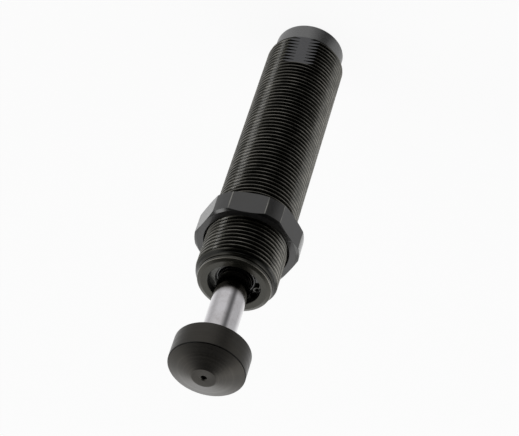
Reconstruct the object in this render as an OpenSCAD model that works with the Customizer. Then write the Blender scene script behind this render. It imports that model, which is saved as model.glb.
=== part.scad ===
// Industrial shock absorber: threaded steel body, lock nut, chromed rod with a button cap,
// and a self-compensating hydraulic cartridge inside.
// The body stands along +Z with its rear face on Z = 0 and the button cap at the top.

/* [Body] */
// Length of the body from its rear face to its front face
body_length = 107.7; // [96:0.1:130]
// Outside diameter of the mounting thread
thread_d = 25; // [23:0.1:28]
// Pitch of the mounting thread
thread_pitch = 1.5; // [1:0.25:2]
// Width of the shoulder between the main bore and the front bore
bore_shoulder = 1.5; // [1.1:0.1:1.9]
// Thickness of the body's wall at the plain collar at the rear
collar_wall = 1.6; // [1.2:0.1:2]
// Length of the plain collar at the rear
collar_length = 6.5; // [4:0.5:12]
// Chamfer on the rear edge of the collar
collar_chamfer = 0.5; // [0.2:0.1:1]
// Length of the chamfer from the collar up to the crests
rear_lead = 1.1; // [0.5:0.1:2]
// Depth of the wrench flats below the crests
flat_depth = 1; // [0.5:0.1:1.4]
// Length of the wrench flats along the thread
flat_length = 12.6; // [6:0.1:24]

/* [Front end of the body] */
// How far the spigot at the front lies below the crests
spigot_step = 1.3; // [1:0.1:1.7]
// Length of the spigot
spigot_length = 0.95; // [0.6:0.05:3]
// Width of the bevel round the front face
bevel_width = 1.2; // [0.4:0.1:1.8]
// Length of the bevel round the front face
bevel_length = 0.35; // [0.2:0.05:1]
// Depth of the neck behind the spigot
neck_depth = 0.3; // [0.1:0.05:0.6]
// Length of the neck behind the spigot
neck_length = 0.45; // [0.2:0.05:1.5]
// Length of the chamfer that leads into the thread at the front
front_lead = 1.55; // [1:0.05:3]
// Depth of the recess in front of the front circlip
front_recess = 2.3; // [1.2:0.1:6]

/* [Lock nut] */
// Thickness of the lock nut's wall from the crests to its flats
nut_wall = 2.5; // [2:0.1:5]
// How far the turned corners of the lock nut stand past its flats
nut_corner = 1; // [0.4:0.1:1.8]
// Width of the bevel on the turned corners of the lock nut
nut_bevel = 0.9; // [0.3:0.1:1.4]
// Width of the countersinks at both ends of the lock nut's bore
nut_countersink = 0.61; // [0.3:0.01:1]
// Thickness of the lock nut
nut_thickness = 8; // [4:0.5:12]
// Distance from the front face of the body to the lock nut
nut_offset = 15.9; // [4:0.1:60]

/* [Piston rod and button cap] */
// Diameter of the piston rod
rod_d = 10; // [9:0.1:11.2]
// Travel of the rod
stroke = 25; // [12:0.5:28]
// Distance left at both ends of the travel
stop_gap = 0.3; // [0.2:0.05:1]
// Diameter of the button cap
cap_d = 22.8; // [18:0.1:26]
// Height of the cylindrical side of the button cap
cap_side = 7.6; // [6.8:0.1:14]
// Height of the cone on the button cap
cap_cone = 3.3; // [1:0.1:5]
// Chamfer on both rims of the button cap
cap_rim = 0.35; // [0.1:0.05:1]
// Diameter of the flat disc in the middle of the button cap
cap_disc_d = 7.3; // [5:0.1:10]
// Diameter of the centre hole in the button cap
cap_hole_d = 1.6; // [1:0.1:2.4]
// Depth of the centre hole in the button cap
cap_hole_depth = 1.6; // [1:0.1:2]
// Countersink of the centre hole in the button cap
cap_countersink = 0.3; // [0.1:0.05:0.6]
// Diameter of the rod's end inside the button cap
rod_end_d = 6; // [5:0.1:7]
// Length of the rod's end inside the button cap
rod_end_length = 5.5; // [3:0.1:6.2]
// Chamfer on the edges of the rod
rod_chamfer = 0.4; // [0.1:0.05:0.6]

/* [Gland and seals] */
// Length of the lip behind the guide bush
gland_lip = 0.6; // [0.3:0.1:2]
// Wall thickness of the guide bush
bush_wall = 0.8; // [0.5:0.1:1.2]
// Length of the guide bush
bush_length = 6; // [4:0.1:9]
// Section diameter of the gland O-ring
gland_ring_section = 1.2; // [0.8:0.05:1.4]
// Length of the land on each side of the gland O-ring's groove
groove_land = 0.4; // [0.3:0.05:1]
// Radial width of the rod seal
seal_section = 1.9; // [1.5:0.1:2.2]
// Thickness of the gland outside the rod seal
gland_wall = 1.1; // [0.8:0.1:1.4]
// Height of the rod seal
rod_seal_height = 2.4; // [1.6:0.1:4]
// Thickness of the backup ring
backup_thickness = 0.8; // [0.5:0.1:1.5]
// Length of the land between the rod seal and the wiper seal
wiper_land = 1; // [0.6:0.1:2]
// Radial width of the wiper seal
wiper_section = 2; // [1.6:0.1:2.3]
// Depth of the wiper seal's seat
wiper_seat = 3; // [2.2:0.1:5]
// Height of the wiper seal's nose above the gland
wiper_nose = 0.6; // [0.3:0.1:1.2]

/* [Circlips] */
// Thickness of both circlips
circlip_thickness = 1; // [0.8:0.05:1.2]
// Depth of the circlip grooves
circlip_groove = 0.4; // [0.3:0.05:0.5]
// Distance from the rod to the front circlip
circlip_rod_gap = 1; // [0.8:0.05:1.2]
// Radial width of the rear circlip opposite its gap
rear_circlip_width = 2.5; // [1.8:0.05:3]
// How far each circlip narrows towards its gap
circlip_taper = 1.2; // [0.6:0.1:1.4]
// Half of the angle between the lugs of a circlip
circlip_half_gap = 27; // [15:1:35]

/* [Accumulator and rod guide] */
// Length of the accumulator cage
cage_length = 24; // [14:0.5:27]
// Distance from the rod to the accumulator cage
cage_rod_gap = 0.4; // [0.2:0.05:0.6]
// Wall thickness of the accumulator cage
cage_wall = 0.8; // [0.5:0.1:1.2]
// Thickness of the accumulator cage's flange
cage_flange = 1.5; // [1:0.1:3]
// Diameter of the holes in the accumulator cage
cage_hole_d = 2; // [1:0.1:3]
// Clearance round the accumulator foam
foam_gap = 0.2; // [0.1:0.05:0.5]
// Thickness of the rod guide's flange
guide_flange = 6; // [3:0.5:8]
// Length of the rod guide's spigot inside the pressure tube
guide_spigot = 2; // [1:0.5:4]
// Depth of the oil slots in the rod guide
oil_slot_depth = 1.2; // [0.8:0.1:1.6]
// Width of the oil slots in the rod guide
oil_slot_width = 2.4; // [1:0.1:4]

/* [Pressure tube and piston] */
// Width of the oil gap round the pressure tube
oil_gap = 0.8; // [0.5:0.1:1.2]
// Wall thickness of the pressure tube
tube_wall = 1.7; // [1.2:0.1:2]
// Diameter of the metering orifices
orifice_d = 1.2; // [0.6:0.1:2]
// Number of metering orifices
orifice_count = 6; // [3:1:8]
// Diameter of the return ports
port_d = 2; // [1:0.1:2.6]
// Thickness of the piston's head
piston_head = 3.5; // [2:0.1:5]
// Radial width of the check ring
ring_width = 2; // [1.4:0.1:2.3]
// Height of the check ring
ring_height = 2.1; // [1.5:0.1:3]
// Axial play of the check ring
ring_play = 0.4; // [0.2:0.05:0.8]
// Diameter of the return passages in the piston's head
passage_d = 1; // [0.6:0.1:1.4]
// Distance from the pressure tube to the piston plate
plate_gap = 0.5; // [0.3:0.1:1]
// Thickness of the piston plate
plate_thickness = 1; // [0.6:0.1:2]
// Width of the notches in the piston plate
notch_width = 2; // [1:0.1:3]
// Depth of the notches in the piston plate
notch_depth = 1; // [0.5:0.1:1.5]
// Diameter of the rod's thread inside the piston
piston_thread_d = 5; // [4:0.5:6]
// Distance from the piston nut's corners to the return spring
piston_nut_gap = 0.68; // [0.4:0.01:1]
// Thickness of the piston nut
piston_nut_thickness = 4; // [2.5:0.1:5]
// How far the rod's thread stands out of the piston nut
rod_tail = 0.5; // [0.2:0.1:2]

/* [Return spring] */
// Wire diameter of the return spring
wire_d = 1.2; // [0.8:0.05:1.35]
// Distance from the pressure tube to the return spring
spring_gap = 0.5; // [0.3:0.05:0.8]
// Number of turns of the return spring
spring_turns = 9; // [6:1:10]
// Thickness of the spring seat
seat_thickness = 1.3; // [0.8:0.1:2]

/* [Rear plug] */
// Distance from the rear face of the body to the rear circlip
rear_recess = 1.6; // [1:0.1:4]
// Thickness of the rear plug
plug_thickness = 6.4; // [5.7:0.1:10]
// Height of the plug's rim round the pressure tube
plug_rim = 1.5; // [1:0.1:3]
// Section diameter of the rear O-ring
rear_ring_section = 1.4; // [1:0.05:1.6]
// Diameter of the fill screw
fill_screw_d = 4; // [3.5:0.1:5]
// Depth of the fill screw below the rear face of the plug
fill_screw_recess = 0.1; // [0.1:0.05:1]
// Diameter of the fill ball
fill_ball_d = 2.5; // [2:0.1:3]
// Diameter of the filling passage
fill_passage_d = 1.5; // [1:0.1:1.8]
// Length of the filling passage
fill_passage_length = 1.1; // [0.8:0.1:2]

/* [Hidden] */
$fn = 96;

// Clearances
running_gap = 0.03;   // radial play of a running fit
seat_gap = 0.03;      // radial play of a seated piece
face_gap = 0.05;      // axial play between pieces that turn or slide on each other
groove_play = 0.05;   // axial play of a circlip in its groove
o_ring_play = 0.02;   // how much an O-ring's section is under its groove's depth
cut = 1;              // how far a cutting solid reaches past the surface it opens

// Thread form: sixty-degree flanks with narrow crests and roots
thread_depth = 0.6134 * thread_pitch;
crest_width = thread_pitch / 8;
flank_width = thread_depth * tan(30);
root_width = thread_pitch - crest_width - 2 * flank_width;
thread_r = thread_d / 2;
root_r = thread_r - thread_depth;

// Radii from the rod outwards to the body
rod_r = rod_d / 2;
seal_r = rod_r + seal_section;
front_bore_r = seal_r + gland_wall;
bore_r = front_bore_r + bore_shoulder;
collar_r = bore_r + collar_wall;
flat_y = thread_r - flat_depth;
spigot_r = thread_r - spigot_step;
neck_r = spigot_r - neck_depth;
front_face_r = spigot_r - bevel_width;

// Gland, from its rear end to its front end
gland_r = front_bore_r - seat_gap;
ring_groove_ratio = 1.4;
ring_groove_width = ring_groove_ratio * gland_ring_section;
ring_land = ring_groove_width + 2 * groove_land;
seal_play = 0.1;
seal_seat = rod_seal_height + backup_thickness + seal_play;
gland_length = gland_lip + bush_length + ring_land + seal_seat + wiper_land + wiper_seat;

// Heights along the body
thread_start = collar_length + rear_lead;
bevel_start = body_length - bevel_length;
spigot_start = bevel_start - spigot_length;
neck_start = spigot_start - neck_length;
thread_end = neck_start - front_lead;
flat_end = thread_start + flat_length;
front_clip_z = body_length - front_recess - circlip_thickness;
gland_z = front_clip_z - gland_length;
bush_z = gland_z + gland_lip;
ring_land_z = bush_z + bush_length;
seal_z = ring_land_z + ring_land;
wiper_z = front_clip_z - wiper_seat;
rear_clip_end = rear_recess + circlip_thickness;
plug_front = rear_clip_end + plug_thickness;

// Rings of the gland
gland_bore_r = rod_r + 0.3;
bush_r = rod_r + bush_wall;
wiper_r = rod_r + wiper_section;
lip_r = rod_r + running_gap;
gland_ring_z = ring_land_z + ring_land / 2;
gland_ring_r = gland_r - gland_ring_section / 2;

// Circlips
circlip_play = 0.05;  // radial play of a circlip in its groove
front_circlip_r = front_bore_r + circlip_groove - circlip_play;
front_opening_r = rod_r + circlip_rod_gap;
rear_circlip_r = bore_r + circlip_groove - circlip_play;
rear_opening_r = rear_circlip_r - rear_circlip_width;
wiper_nose_r = front_opening_r - 0.2;

// Lock nut
nut_z = body_length - nut_offset - nut_thickness;
nut_flat_r = thread_r + nut_wall;
nut_corner_r = nut_flat_r + nut_corner;
nut_face_r = nut_corner_r - nut_bevel;
nut_bevel_height = nut_bevel * tan(30);
nut_bore_r = thread_r + 0.04;
nut_mouth_r = nut_bore_r + nut_countersink;

// Rod guide and accumulator
guide_top = gland_z - cage_length;
guide_step = guide_top - guide_flange;
guide_z = guide_step - guide_spigot;
cage_bore_r = rod_r + cage_rod_gap;
cage_r = cage_bore_r + cage_wall;
flange_r = bore_r - seat_gap;
foam_bore_r = cage_r + foam_gap;
foam_r = bore_r - foam_gap;
oil_slot_count = 6;

// Pressure tube, return spring and piston, the piston from the rod guide down
tube_r = bore_r - oil_gap;
tube_bore_r = tube_r - tube_wall;
spring_r = tube_bore_r - spring_gap;
piston_r = tube_bore_r - 2 * running_gap;
piston_top = guide_z - stop_gap;
ring_groove_top = piston_top - piston_head;
plate_top = ring_groove_top - ring_height - ring_play - 2 * face_gap;
plate_z = plate_top - plate_thickness;
piston_nut_z = plate_z - piston_nut_thickness;
rod_tail_z = piston_nut_z - rod_tail;
seat_top = plate_z - face_gap;
seat_z = seat_top - seat_thickness;
check_ring_bore_r = tube_bore_r - ring_width;
hub_r = check_ring_bore_r - 0.2;
plate_r = tube_bore_r - plate_gap;
piston_nut_r = spring_r - wire_d - piston_nut_gap;
seat_bore_r = piston_nut_r + 0.2;
bolt_r = piston_thread_d / 2;

// Rod and cap
cap_z = body_length + stop_gap + stroke;
cap_shoulder = cap_z + cap_side;
cap_top = cap_shoulder + cap_cone;
rod_end_gap = 0.3;    // depth left past the rod's end in the cap

// Rear plug
rear_groove_width = ring_groove_ratio * rear_ring_section;
rear_ring_z = rear_clip_end + plug_thickness / 2;
rear_ring_r = flange_r - rear_ring_section / 2;
fill_top = plug_front - fill_passage_length;
ball_r = fill_ball_d / 2;
ball_z = fill_top - sqrt(pow(ball_r, 2) - pow(fill_passage_d / 2, 2));
screw_top = ball_z - ball_r;
screw_z = rear_clip_end + fill_screw_recess;

// Solid ring between two radii, from height z up
module ring(r_in, r_out, z, height) {
    translate([0, 0, z])
        difference() {
            cylinder(r = r_out, h = height);
            translate([0, 0, -cut])
                cylinder(r = r_in, h = height + 2 * cut);
        }
}

// Solid of revolution from a list of [radius, height] points
module turned(profile) {
    rotate_extrude()
        polygon(profile);
}

// Ring of round section, such as an O-ring
module o_ring(r, z, section) {
    translate([0, 0, z])
        rotate_extrude()
            translate([r, 0])
                circle(d = section, $fn = 32);
}

// Rectangular groove cut from outside into a round piece
module outer_groove(r_bottom, r_outer, z, height) {
    ring(r_bottom, r_outer + cut, z, height);
}

// Internal retaining ring: eccentric inside, with a gap and two drilled lugs
module circlip(outer_r, opening_r, z, gap_angle) {
    offset_r = circlip_taper * 0.59;
    inner_r = opening_r + offset_r;
    lug_r = (outer_r - opening_r) / 2 + 0.05;
    lug_centre_r = outer_r - lug_r;
    lug_turn = circlip_half_gap + asin(lug_r / lug_centre_r);
    far_r = 2 * outer_r;
    translate([0, 0, z])
        rotate([0, 0, gap_angle])
            difference() {
                union() {
                    difference() {
                        cylinder(r = outer_r, h = circlip_thickness);
                        translate([offset_r, 0, -cut])
                            cylinder(r = inner_r, h = circlip_thickness + 2 * cut);
                        translate([0, 0, -cut])
                            linear_extrude(circlip_thickness + 2 * cut)
                                polygon([
                                    [0, 0],
                                    far_r * [cos(lug_turn), -sin(lug_turn)],
                                    [2 * far_r, 0],
                                    far_r * [cos(lug_turn), sin(lug_turn)]
                                ]);
                    }
                    for (side = [-1, 1])
                        rotate([0, 0, side * lug_turn])
                            translate([lug_centre_r, 0, 0])
                                cylinder(r = lug_r, h = circlip_thickness);
                }
                for (side = [-1, 1])
                    rotate([0, 0, side * lug_turn])
                        translate([lug_centre_r, 0, -cut])
                            cylinder(r = lug_r / 2, h = circlip_thickness + 2 * cut);
            }
}

// Groove that holds a circlip in a bore
module circlip_seat(bore, z) {
    translate([0, 0, z - groove_play])
        cylinder(r = bore + circlip_groove, h = circlip_thickness + 2 * groove_play);
}

// Outline of the body before the thread is cut
module body_outline() {
    polygon([
        [0, 0],
        [collar_r - collar_chamfer, 0],
        [collar_r, collar_chamfer],
        [collar_r, collar_length],
        [thread_r, thread_start],
        [thread_r, thread_end],
        [spigot_r, neck_start],
        [neck_r, neck_start],
        [neck_r, spigot_start],
        [spigot_r, spigot_start],
        [spigot_r, bevel_start],
        [front_face_r, body_length],
        [0, body_length]
    ]);
}

// Outline with one pointed ridge for each pitch, wide at both ends where the body is plain
module thread_outline() {
    past_r = thread_r + 2;
    ridge_width = thread_pitch - root_width;
    apex_r = root_r + ridge_width / 2 / tan(30);
    ridges = floor((neck_start - collar_length) / thread_pitch);
    ridge_points = [
        for (i = [0 : ridges - 1])
            let (z = collar_length + i * thread_pitch)
                each [
                    [root_r, z],
                    [root_r, z + root_width],
                    [apex_r, z + root_width + ridge_width / 2]
                ]
    ];
    polygon(concat(
        [[0, -cut], [past_r, -cut], [past_r, collar_length]],
        ridge_points,
        [[root_r, collar_length + ridges * thread_pitch], [root_r, neck_start], [past_r, neck_start]],
        [[past_r, body_length + cut], [0, body_length + cut]]
    ));
}

// Everything bored out of the body
module body_bores() {
    translate([0, 0, -cut])
        cylinder(r = bore_r, h = gland_z + cut);
    translate([0, 0, gland_z - cut])
        cylinder(r = front_bore_r, h = body_length - gland_z + 2 * cut);
    circlip_seat(front_bore_r, front_clip_z);
    circlip_seat(bore_r, rear_recess);
}

module body_tube() {
    color([0.16, 0.16, 0.15])
        difference() {
            rotate_extrude()
                intersection() {
                    body_outline();
                    thread_outline();
                }
            body_bores();
            for (side = [-1, 1])
                translate([-thread_d, side * (flat_y + thread_d / 2) - thread_d / 2, collar_length])
                    cube([2 * thread_d, thread_d, flat_end - collar_length]);
        }
}

module lock_nut() {
    nut_top = nut_z + nut_thickness;
    color([0.2, 0.2, 0.19])
        difference() {
            intersection() {
                translate([0, 0, nut_z])
                    cylinder(r = nut_flat_r / cos(30), h = nut_thickness, $fn = 6);
                turned([
                    [0, nut_z],
                    [nut_face_r, nut_z],
                    [nut_corner_r, nut_z + nut_bevel_height],
                    [nut_corner_r, nut_top - nut_bevel_height],
                    [nut_face_r, nut_top],
                    [0, nut_top]
                ]);
            }
            turned([
                [0, nut_z - cut],
                [nut_mouth_r, nut_z - cut],
                [nut_mouth_r, nut_z],
                [nut_bore_r, nut_z + nut_countersink],
                [nut_bore_r, nut_top - nut_countersink],
                [nut_mouth_r, nut_top],
                [nut_mouth_r, nut_top + cut],
                [0, nut_top + cut]
            ]);
        }
}

module piston_rod() {
    rod_end_r = rod_end_d / 2;
    rod_end_z = cap_z + rod_end_length;
    color([0.86, 0.86, 0.88])
        turned([
            [0, rod_tail_z],
            [bolt_r - rod_chamfer, rod_tail_z],
            [bolt_r, rod_tail_z + rod_chamfer],
            [bolt_r, piston_top],
            [rod_r - rod_chamfer, piston_top],
            [rod_r, piston_top + rod_chamfer],
            [rod_r, cap_z],
            [rod_end_r, cap_z],
            [rod_end_r, rod_end_z - rod_chamfer],
            [rod_end_r - rod_chamfer, rod_end_z],
            [0, rod_end_z]
        ]);
}

module button_cap() {
    cap_r = cap_d / 2;
    socket_r = rod_end_d / 2 + seat_gap;
    socket_top = cap_z + rod_end_length + rod_end_gap;
    hole_r = cap_hole_d / 2;
    hole_z = cap_top - cap_hole_depth;
    color([0.22, 0.22, 0.21])
        turned([
            [socket_r, cap_z],
            [cap_r - cap_rim, cap_z],
            [cap_r, cap_z + cap_rim],
            [cap_r, cap_shoulder - cap_rim],
            [cap_r - cap_rim, cap_shoulder],
            [cap_disc_d / 2, cap_top],
            [hole_r + cap_countersink, cap_top],
            [hole_r, cap_top - cap_countersink],
            [hole_r, hole_z],
            [0, hole_z - hole_r * tan(30)],
            [0, socket_top],
            [socket_r, socket_top]
        ]);
}

module front_circlip() {
    color([0.14, 0.14, 0.14])
        circlip(front_circlip_r, front_opening_r, front_clip_z, 77);
}

module wiper_seal() {
    throat_r = (lip_r + wiper_nose_r) / 2;
    outer_r = wiper_r - seat_gap;
    nose_top = front_clip_z + wiper_nose;
    nose_edge = 0.2;
    lip_height = 1;
    color([0.12, 0.12, 0.12])
        turned([
            [throat_r, wiper_z],
            [outer_r, wiper_z],
            [outer_r, front_clip_z],
            [wiper_nose_r, front_clip_z],
            [wiper_nose_r, nose_top - nose_edge],
            [wiper_nose_r - nose_edge, nose_top],
            [throat_r, nose_top],
            [lip_r, nose_top - lip_height / 2],
            [throat_r, nose_top - lip_height]
        ]);
}

module gland() {
    color([0.45, 0.45, 0.46])
        difference() {
            translate([0, 0, gland_z])
                cylinder(r = gland_r, h = gland_length);
            translate([0, 0, gland_z - cut])
                cylinder(r = gland_bore_r, h = gland_length + 2 * cut);
            translate([0, 0, gland_z - cut])
                cylinder(r = bush_r, h = gland_lip + bush_length + cut);
            translate([0, 0, seal_z])
                cylinder(r = seal_r + seat_gap, h = seal_seat);
            translate([0, 0, wiper_z])
                cylinder(r = wiper_r, h = wiper_seat + cut);
            outer_groove(
                gland_r - gland_ring_section, gland_r,
                gland_ring_z - ring_groove_width / 2, ring_groove_width
            );
        }
}

module guide_bush() {
    color([0.72, 0.52, 0.24])
        ring(lip_r, bush_r - seat_gap, bush_z, bush_length);
}

module rod_seal() {
    valley_r = (lip_r + seal_r) / 2;
    valley_width = (seal_r - lip_r) / 4;
    valley_depth = rod_seal_height / 3;
    color([0.3, 0.36, 0.42])
        turned([
            [lip_r, seal_z],
            [valley_r - valley_width, seal_z],
            [valley_r, seal_z + valley_depth],
            [valley_r + valley_width, seal_z],
            [seal_r, seal_z],
            [seal_r, seal_z + rod_seal_height],
            [lip_r, seal_z + rod_seal_height]
        ]);
}

module backup_ring() {
    color([0.82, 0.8, 0.74])
        ring(lip_r, seal_r, seal_z + rod_seal_height, backup_thickness);
}

module gland_o_ring() {
    color([0.1, 0.1, 0.1])
        o_ring(gland_ring_r, gland_ring_z, gland_ring_section - o_ring_play);
}

module accumulator_cage() {
    sleeve_length = cage_length - cage_flange;
    rows = floor(sleeve_length / (2.5 * cage_hole_d));
    row_step = sleeve_length / rows;
    color([0.7, 0.71, 0.72])
        difference() {
            union() {
                ring(cage_bore_r, cage_r, guide_top, cage_length);
                ring(cage_bore_r, flange_r, gland_z - cage_flange, cage_flange);
            }
            for (row = [0 : rows - 1])
                for (turn = [0 : 3])
                    translate([0, 0, guide_top + (row + 0.5) * row_step])
                        rotate([0, 90, turn * 90 + row * 45])
                            cylinder(d = cage_hole_d, h = cage_r + cut, $fn = 32);
        }
}

module accumulator_foam() {
    color([0.25, 0.25, 0.27])
        ring(foam_bore_r, foam_r, guide_top, cage_length - cage_flange);
}

module rod_guide() {
    spigot_r = tube_bore_r - seat_gap;
    color([0.55, 0.56, 0.58])
        difference() {
            union() {
                translate([0, 0, guide_step])
                    cylinder(r = flange_r, h = guide_flange);
                translate([0, 0, guide_z])
                    cylinder(r = spigot_r, h = guide_spigot + guide_flange / 2);
            }
            translate([0, 0, guide_z - cut])
                cylinder(r = lip_r, h = guide_flange + guide_spigot + 2 * cut);
            for (i = [0 : oil_slot_count - 1])
                rotate([0, 0, i * 360 / oil_slot_count])
                    translate([flange_r - oil_slot_depth, -oil_slot_width / 2, guide_step - cut])
                        cube([oil_slot_depth + cut, oil_slot_width, guide_flange + 2 * cut]);
        }
}

module pressure_tube() {
    ring_rest = ring_groove_top - ring_height / 2;
    port_z = guide_z - port_d;
    color([0.62, 0.64, 0.66])
        difference() {
            ring(tube_bore_r, tube_r, plug_front, guide_step - plug_front);
            // metering orifices, closer together towards the end of the travel
            for (i = [1 : orifice_count])
                translate([0, 0, ring_rest - stroke * (1 - pow(1 - i / (orifice_count + 1), 2))])
                    rotate([0, 90, i * 60])
                        cylinder(d = orifice_d, h = tube_r + cut, $fn = 32);
            for (i = [0 : 3])
                translate([0, 0, port_z])
                    rotate([0, 90, i * 90])
                        cylinder(d = port_d, h = tube_r + cut, $fn = 32);
        }
}

module piston() {
    color([0.6, 0.58, 0.5])
        difference() {
            union() {
                translate([0, 0, ring_groove_top])
                    cylinder(r = piston_r, h = piston_head);
                translate([0, 0, plate_top])
                    cylinder(r = hub_r, h = piston_top - plate_top);
            }
            translate([0, 0, plate_top - cut])
                cylinder(r = bolt_r + seat_gap, h = piston_top - plate_top + 2 * cut);
            // return passages through the head, closed by the check ring on impact
            for (i = [0 : 3])
                rotate([0, 0, i * 90])
                    translate([(hub_r + piston_r) / 2, 0, ring_groove_top - cut])
                        cylinder(d = passage_d, h = piston_head + 2 * cut, $fn = 32);
        }
}

module check_ring() {
    color([0.75, 0.55, 0.25])
        ring(check_ring_bore_r, tube_bore_r - running_gap, plate_top + face_gap, ring_height);
}

module piston_plate() {
    color([0.5, 0.52, 0.55])
        difference() {
            ring(bolt_r + seat_gap, plate_r, plate_z, plate_thickness);
            for (i = [0 : 3])
                rotate([0, 0, i * 90])
                    translate([plate_r - notch_depth, -notch_width / 2, plate_z - cut])
                        cube([notch_depth + cut, notch_width, plate_thickness + 2 * cut]);
        }
}

module piston_nut() {
    color([0.66, 0.67, 0.7])
        translate([0, 0, piston_nut_z])
            difference() {
                cylinder(r = piston_nut_r, h = piston_nut_thickness, $fn = 6);
                translate([0, 0, -cut])
                    cylinder(r = bolt_r + seat_gap, h = piston_nut_thickness + 2 * cut);
            }
}

module spring_seat() {
    color([0.58, 0.6, 0.63])
        ring(seat_bore_r, spring_r, seat_z, seat_thickness);
}

// Height of the spring's centre line after a number of turns; the end turns lie closed
function spring_height(turn, closed, open) =
    min(turn, 1) * closed
    + max(0, min(turn, spring_turns - 1) - 1) * open
    + max(0, turn - (spring_turns - 1)) * closed;

module return_spring() {
    steps = 16;
    sides = 8;
    wire_r = wire_d / 2;
    low = plug_front + wire_r + face_gap;
    high = seat_z - wire_r - face_gap;
    closed_pitch = wire_d + face_gap;
    open_pitch = (high - low - 2 * closed_pitch) / (spring_turns - 2);
    coil_r = spring_r - wire_r - face_gap;
    rings = spring_turns * steps;
    points = [
        for (i = [0 : rings])
            let (turn = i / steps, z = low + spring_height(turn, closed_pitch, open_pitch))
                for (j = [0 : sides - 1])
                    let (r = coil_r + wire_r * cos(j * 360 / sides))
                        [r * cos(turn * 360), r * sin(turn * 360), z + wire_r * sin(j * 360 / sides)]
    ];
    skin = [
        for (i = [0 : rings - 1])
            for (j = [0 : sides - 1])
                let (a = i * sides + j, b = i * sides + (j + 1) % sides)
                    each [[a, b, b + sides], [a, b + sides, a + sides]]
    ];
    first_end = [for (j = [0 : sides - 1]) sides - 1 - j];
    last_end = [for (j = [0 : sides - 1]) rings * sides + j];
    color([0.7, 0.72, 0.75])
        polyhedron(points, concat(skin, [first_end, last_end]), convexity = 10);
}

module rear_plug() {
    color([0.5, 0.5, 0.51])
        difference() {
            translate([0, 0, rear_clip_end])
                cylinder(r = flange_r, h = plug_thickness + plug_rim);
            translate([0, 0, plug_front])
                cylinder(r = tube_r + seat_gap, h = plug_rim + cut);
            translate([0, 0, rear_clip_end - cut])
                cylinder(r = fill_screw_d / 2 + seat_gap, h = fill_top - rear_clip_end + cut);
            translate([0, 0, fill_top - cut])
                cylinder(d = fill_passage_d, h = fill_passage_length + 2 * cut, $fn = 48);
            outer_groove(
                flange_r - rear_ring_section, flange_r,
                rear_ring_z - rear_groove_width / 2, rear_groove_width
            );
        }
}

module rear_o_ring() {
    color([0.1, 0.1, 0.1])
        o_ring(rear_ring_r, rear_ring_z, rear_ring_section - o_ring_play);
}

module rear_circlip() {
    color([0.14, 0.14, 0.14])
        circlip(rear_circlip_r, rear_opening_r, rear_recess, -90);
}

module fill_ball() {
    color([0.8, 0.8, 0.82])
        translate([0, 0, ball_z])
            sphere(r = ball_r, $fn = 48);
}

module fill_screw() {
    socket_width = fill_screw_d / 2;
    screw_length = screw_top - screw_z;
    color([0.2, 0.2, 0.21])
        translate([0, 0, screw_z])
            difference() {
                cylinder(d = fill_screw_d, h = screw_length);
                translate([0, 0, -cut])
                    cylinder(r = socket_width / 2 / cos(30), h = screw_length / 2 + cut, $fn = 6);
            }
}

body_tube();
lock_nut();
piston_rod();
button_cap();
front_circlip();
wiper_seal();
gland();
guide_bush();
rod_seal();
backup_ring();
gland_o_ring();
accumulator_cage();
accumulator_foam();
rod_guide();
pressure_tube();
piston();
check_ring();
piston_plate();
piston_nut();
spring_seat();
return_spring();
rear_plug();
rear_o_ring();
rear_circlip();
fill_ball();
fill_screw();
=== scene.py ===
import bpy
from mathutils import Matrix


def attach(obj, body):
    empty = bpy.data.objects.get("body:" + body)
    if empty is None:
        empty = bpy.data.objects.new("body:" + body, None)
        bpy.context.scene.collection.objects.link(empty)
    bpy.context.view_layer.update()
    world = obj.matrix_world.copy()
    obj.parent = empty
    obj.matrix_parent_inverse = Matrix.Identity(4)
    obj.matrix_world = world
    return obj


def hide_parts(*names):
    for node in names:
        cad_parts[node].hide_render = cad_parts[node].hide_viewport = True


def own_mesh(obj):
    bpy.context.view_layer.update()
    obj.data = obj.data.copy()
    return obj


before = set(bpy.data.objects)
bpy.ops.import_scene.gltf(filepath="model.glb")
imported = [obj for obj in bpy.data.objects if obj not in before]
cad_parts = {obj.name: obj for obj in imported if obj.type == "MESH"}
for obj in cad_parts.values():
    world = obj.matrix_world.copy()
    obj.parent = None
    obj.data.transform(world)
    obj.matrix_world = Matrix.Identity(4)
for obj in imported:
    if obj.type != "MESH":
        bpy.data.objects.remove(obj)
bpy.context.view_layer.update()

import math

import bmesh
import bpy
from mathutils import Matrix, Vector

# Body: the housing that carries everything else, turned from steel bar and blackened. A blank is
# turned with the collar, the bores and the spigot, a right-hand thread is cut along the whole of
# its middle, and two wrench flats are milled across the first turns.

MM = 0.001
AROUND = 96  # columns in one turn of the body and of its thread
MERGE = 0.0015 * MM

COLLAR_R, COLLAR_END, COLLAR_CHAMFER = 11.1, 6.5, 0.5
THREAD_R, THREAD_PITCH, THREAD_DEPTH = 12.5, 1.5, 0.92
THREAD_LEAD_END, THREAD_LEAD_START, THREAD_END = 7.6, 104.4, 105.95
SPIGOT_R, SPIGOT_START, SPIGOT_END = 11.2, 106.4, 107.35
NECK_R, FRONT_FACE_R, BODY_TOP = 10.9, 10.0, 107.7
BORE_R, BORE_END, FRONT_BORE_R = 9.5, 88.02, 8.0
REAR_GROOVE, FRONT_GROOVE, CLIP_GROOVE_DEPTH = (1.55, 2.65), (104.35, 105.45), 0.4
FLAT_Y, FLAT_END = 11.5, 20.2
OIL_AND_SHADE_BELOW, OIL_AND_SHADE_FULLY = THREAD_R - 0.1, THREAD_R - 0.45  # radii
WEAR_AND_HIGHLIGHT_ABOVE, WEAR_AND_HIGHLIGHT_FULLY = THREAD_R - 0.16, THREAD_R - 0.04  # radii
BLACKENED = "#32322d"
BLACKENED_WARM = "#38362f"
ROOT_OIL_AND_SHADE = "#10100b"
WORN_AND_HIGHLIGHT_GREY = "#74716a"
COLLAR_GREY = "#6e6e6e"
FLAT_GREY = "#4f4f51"


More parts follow.
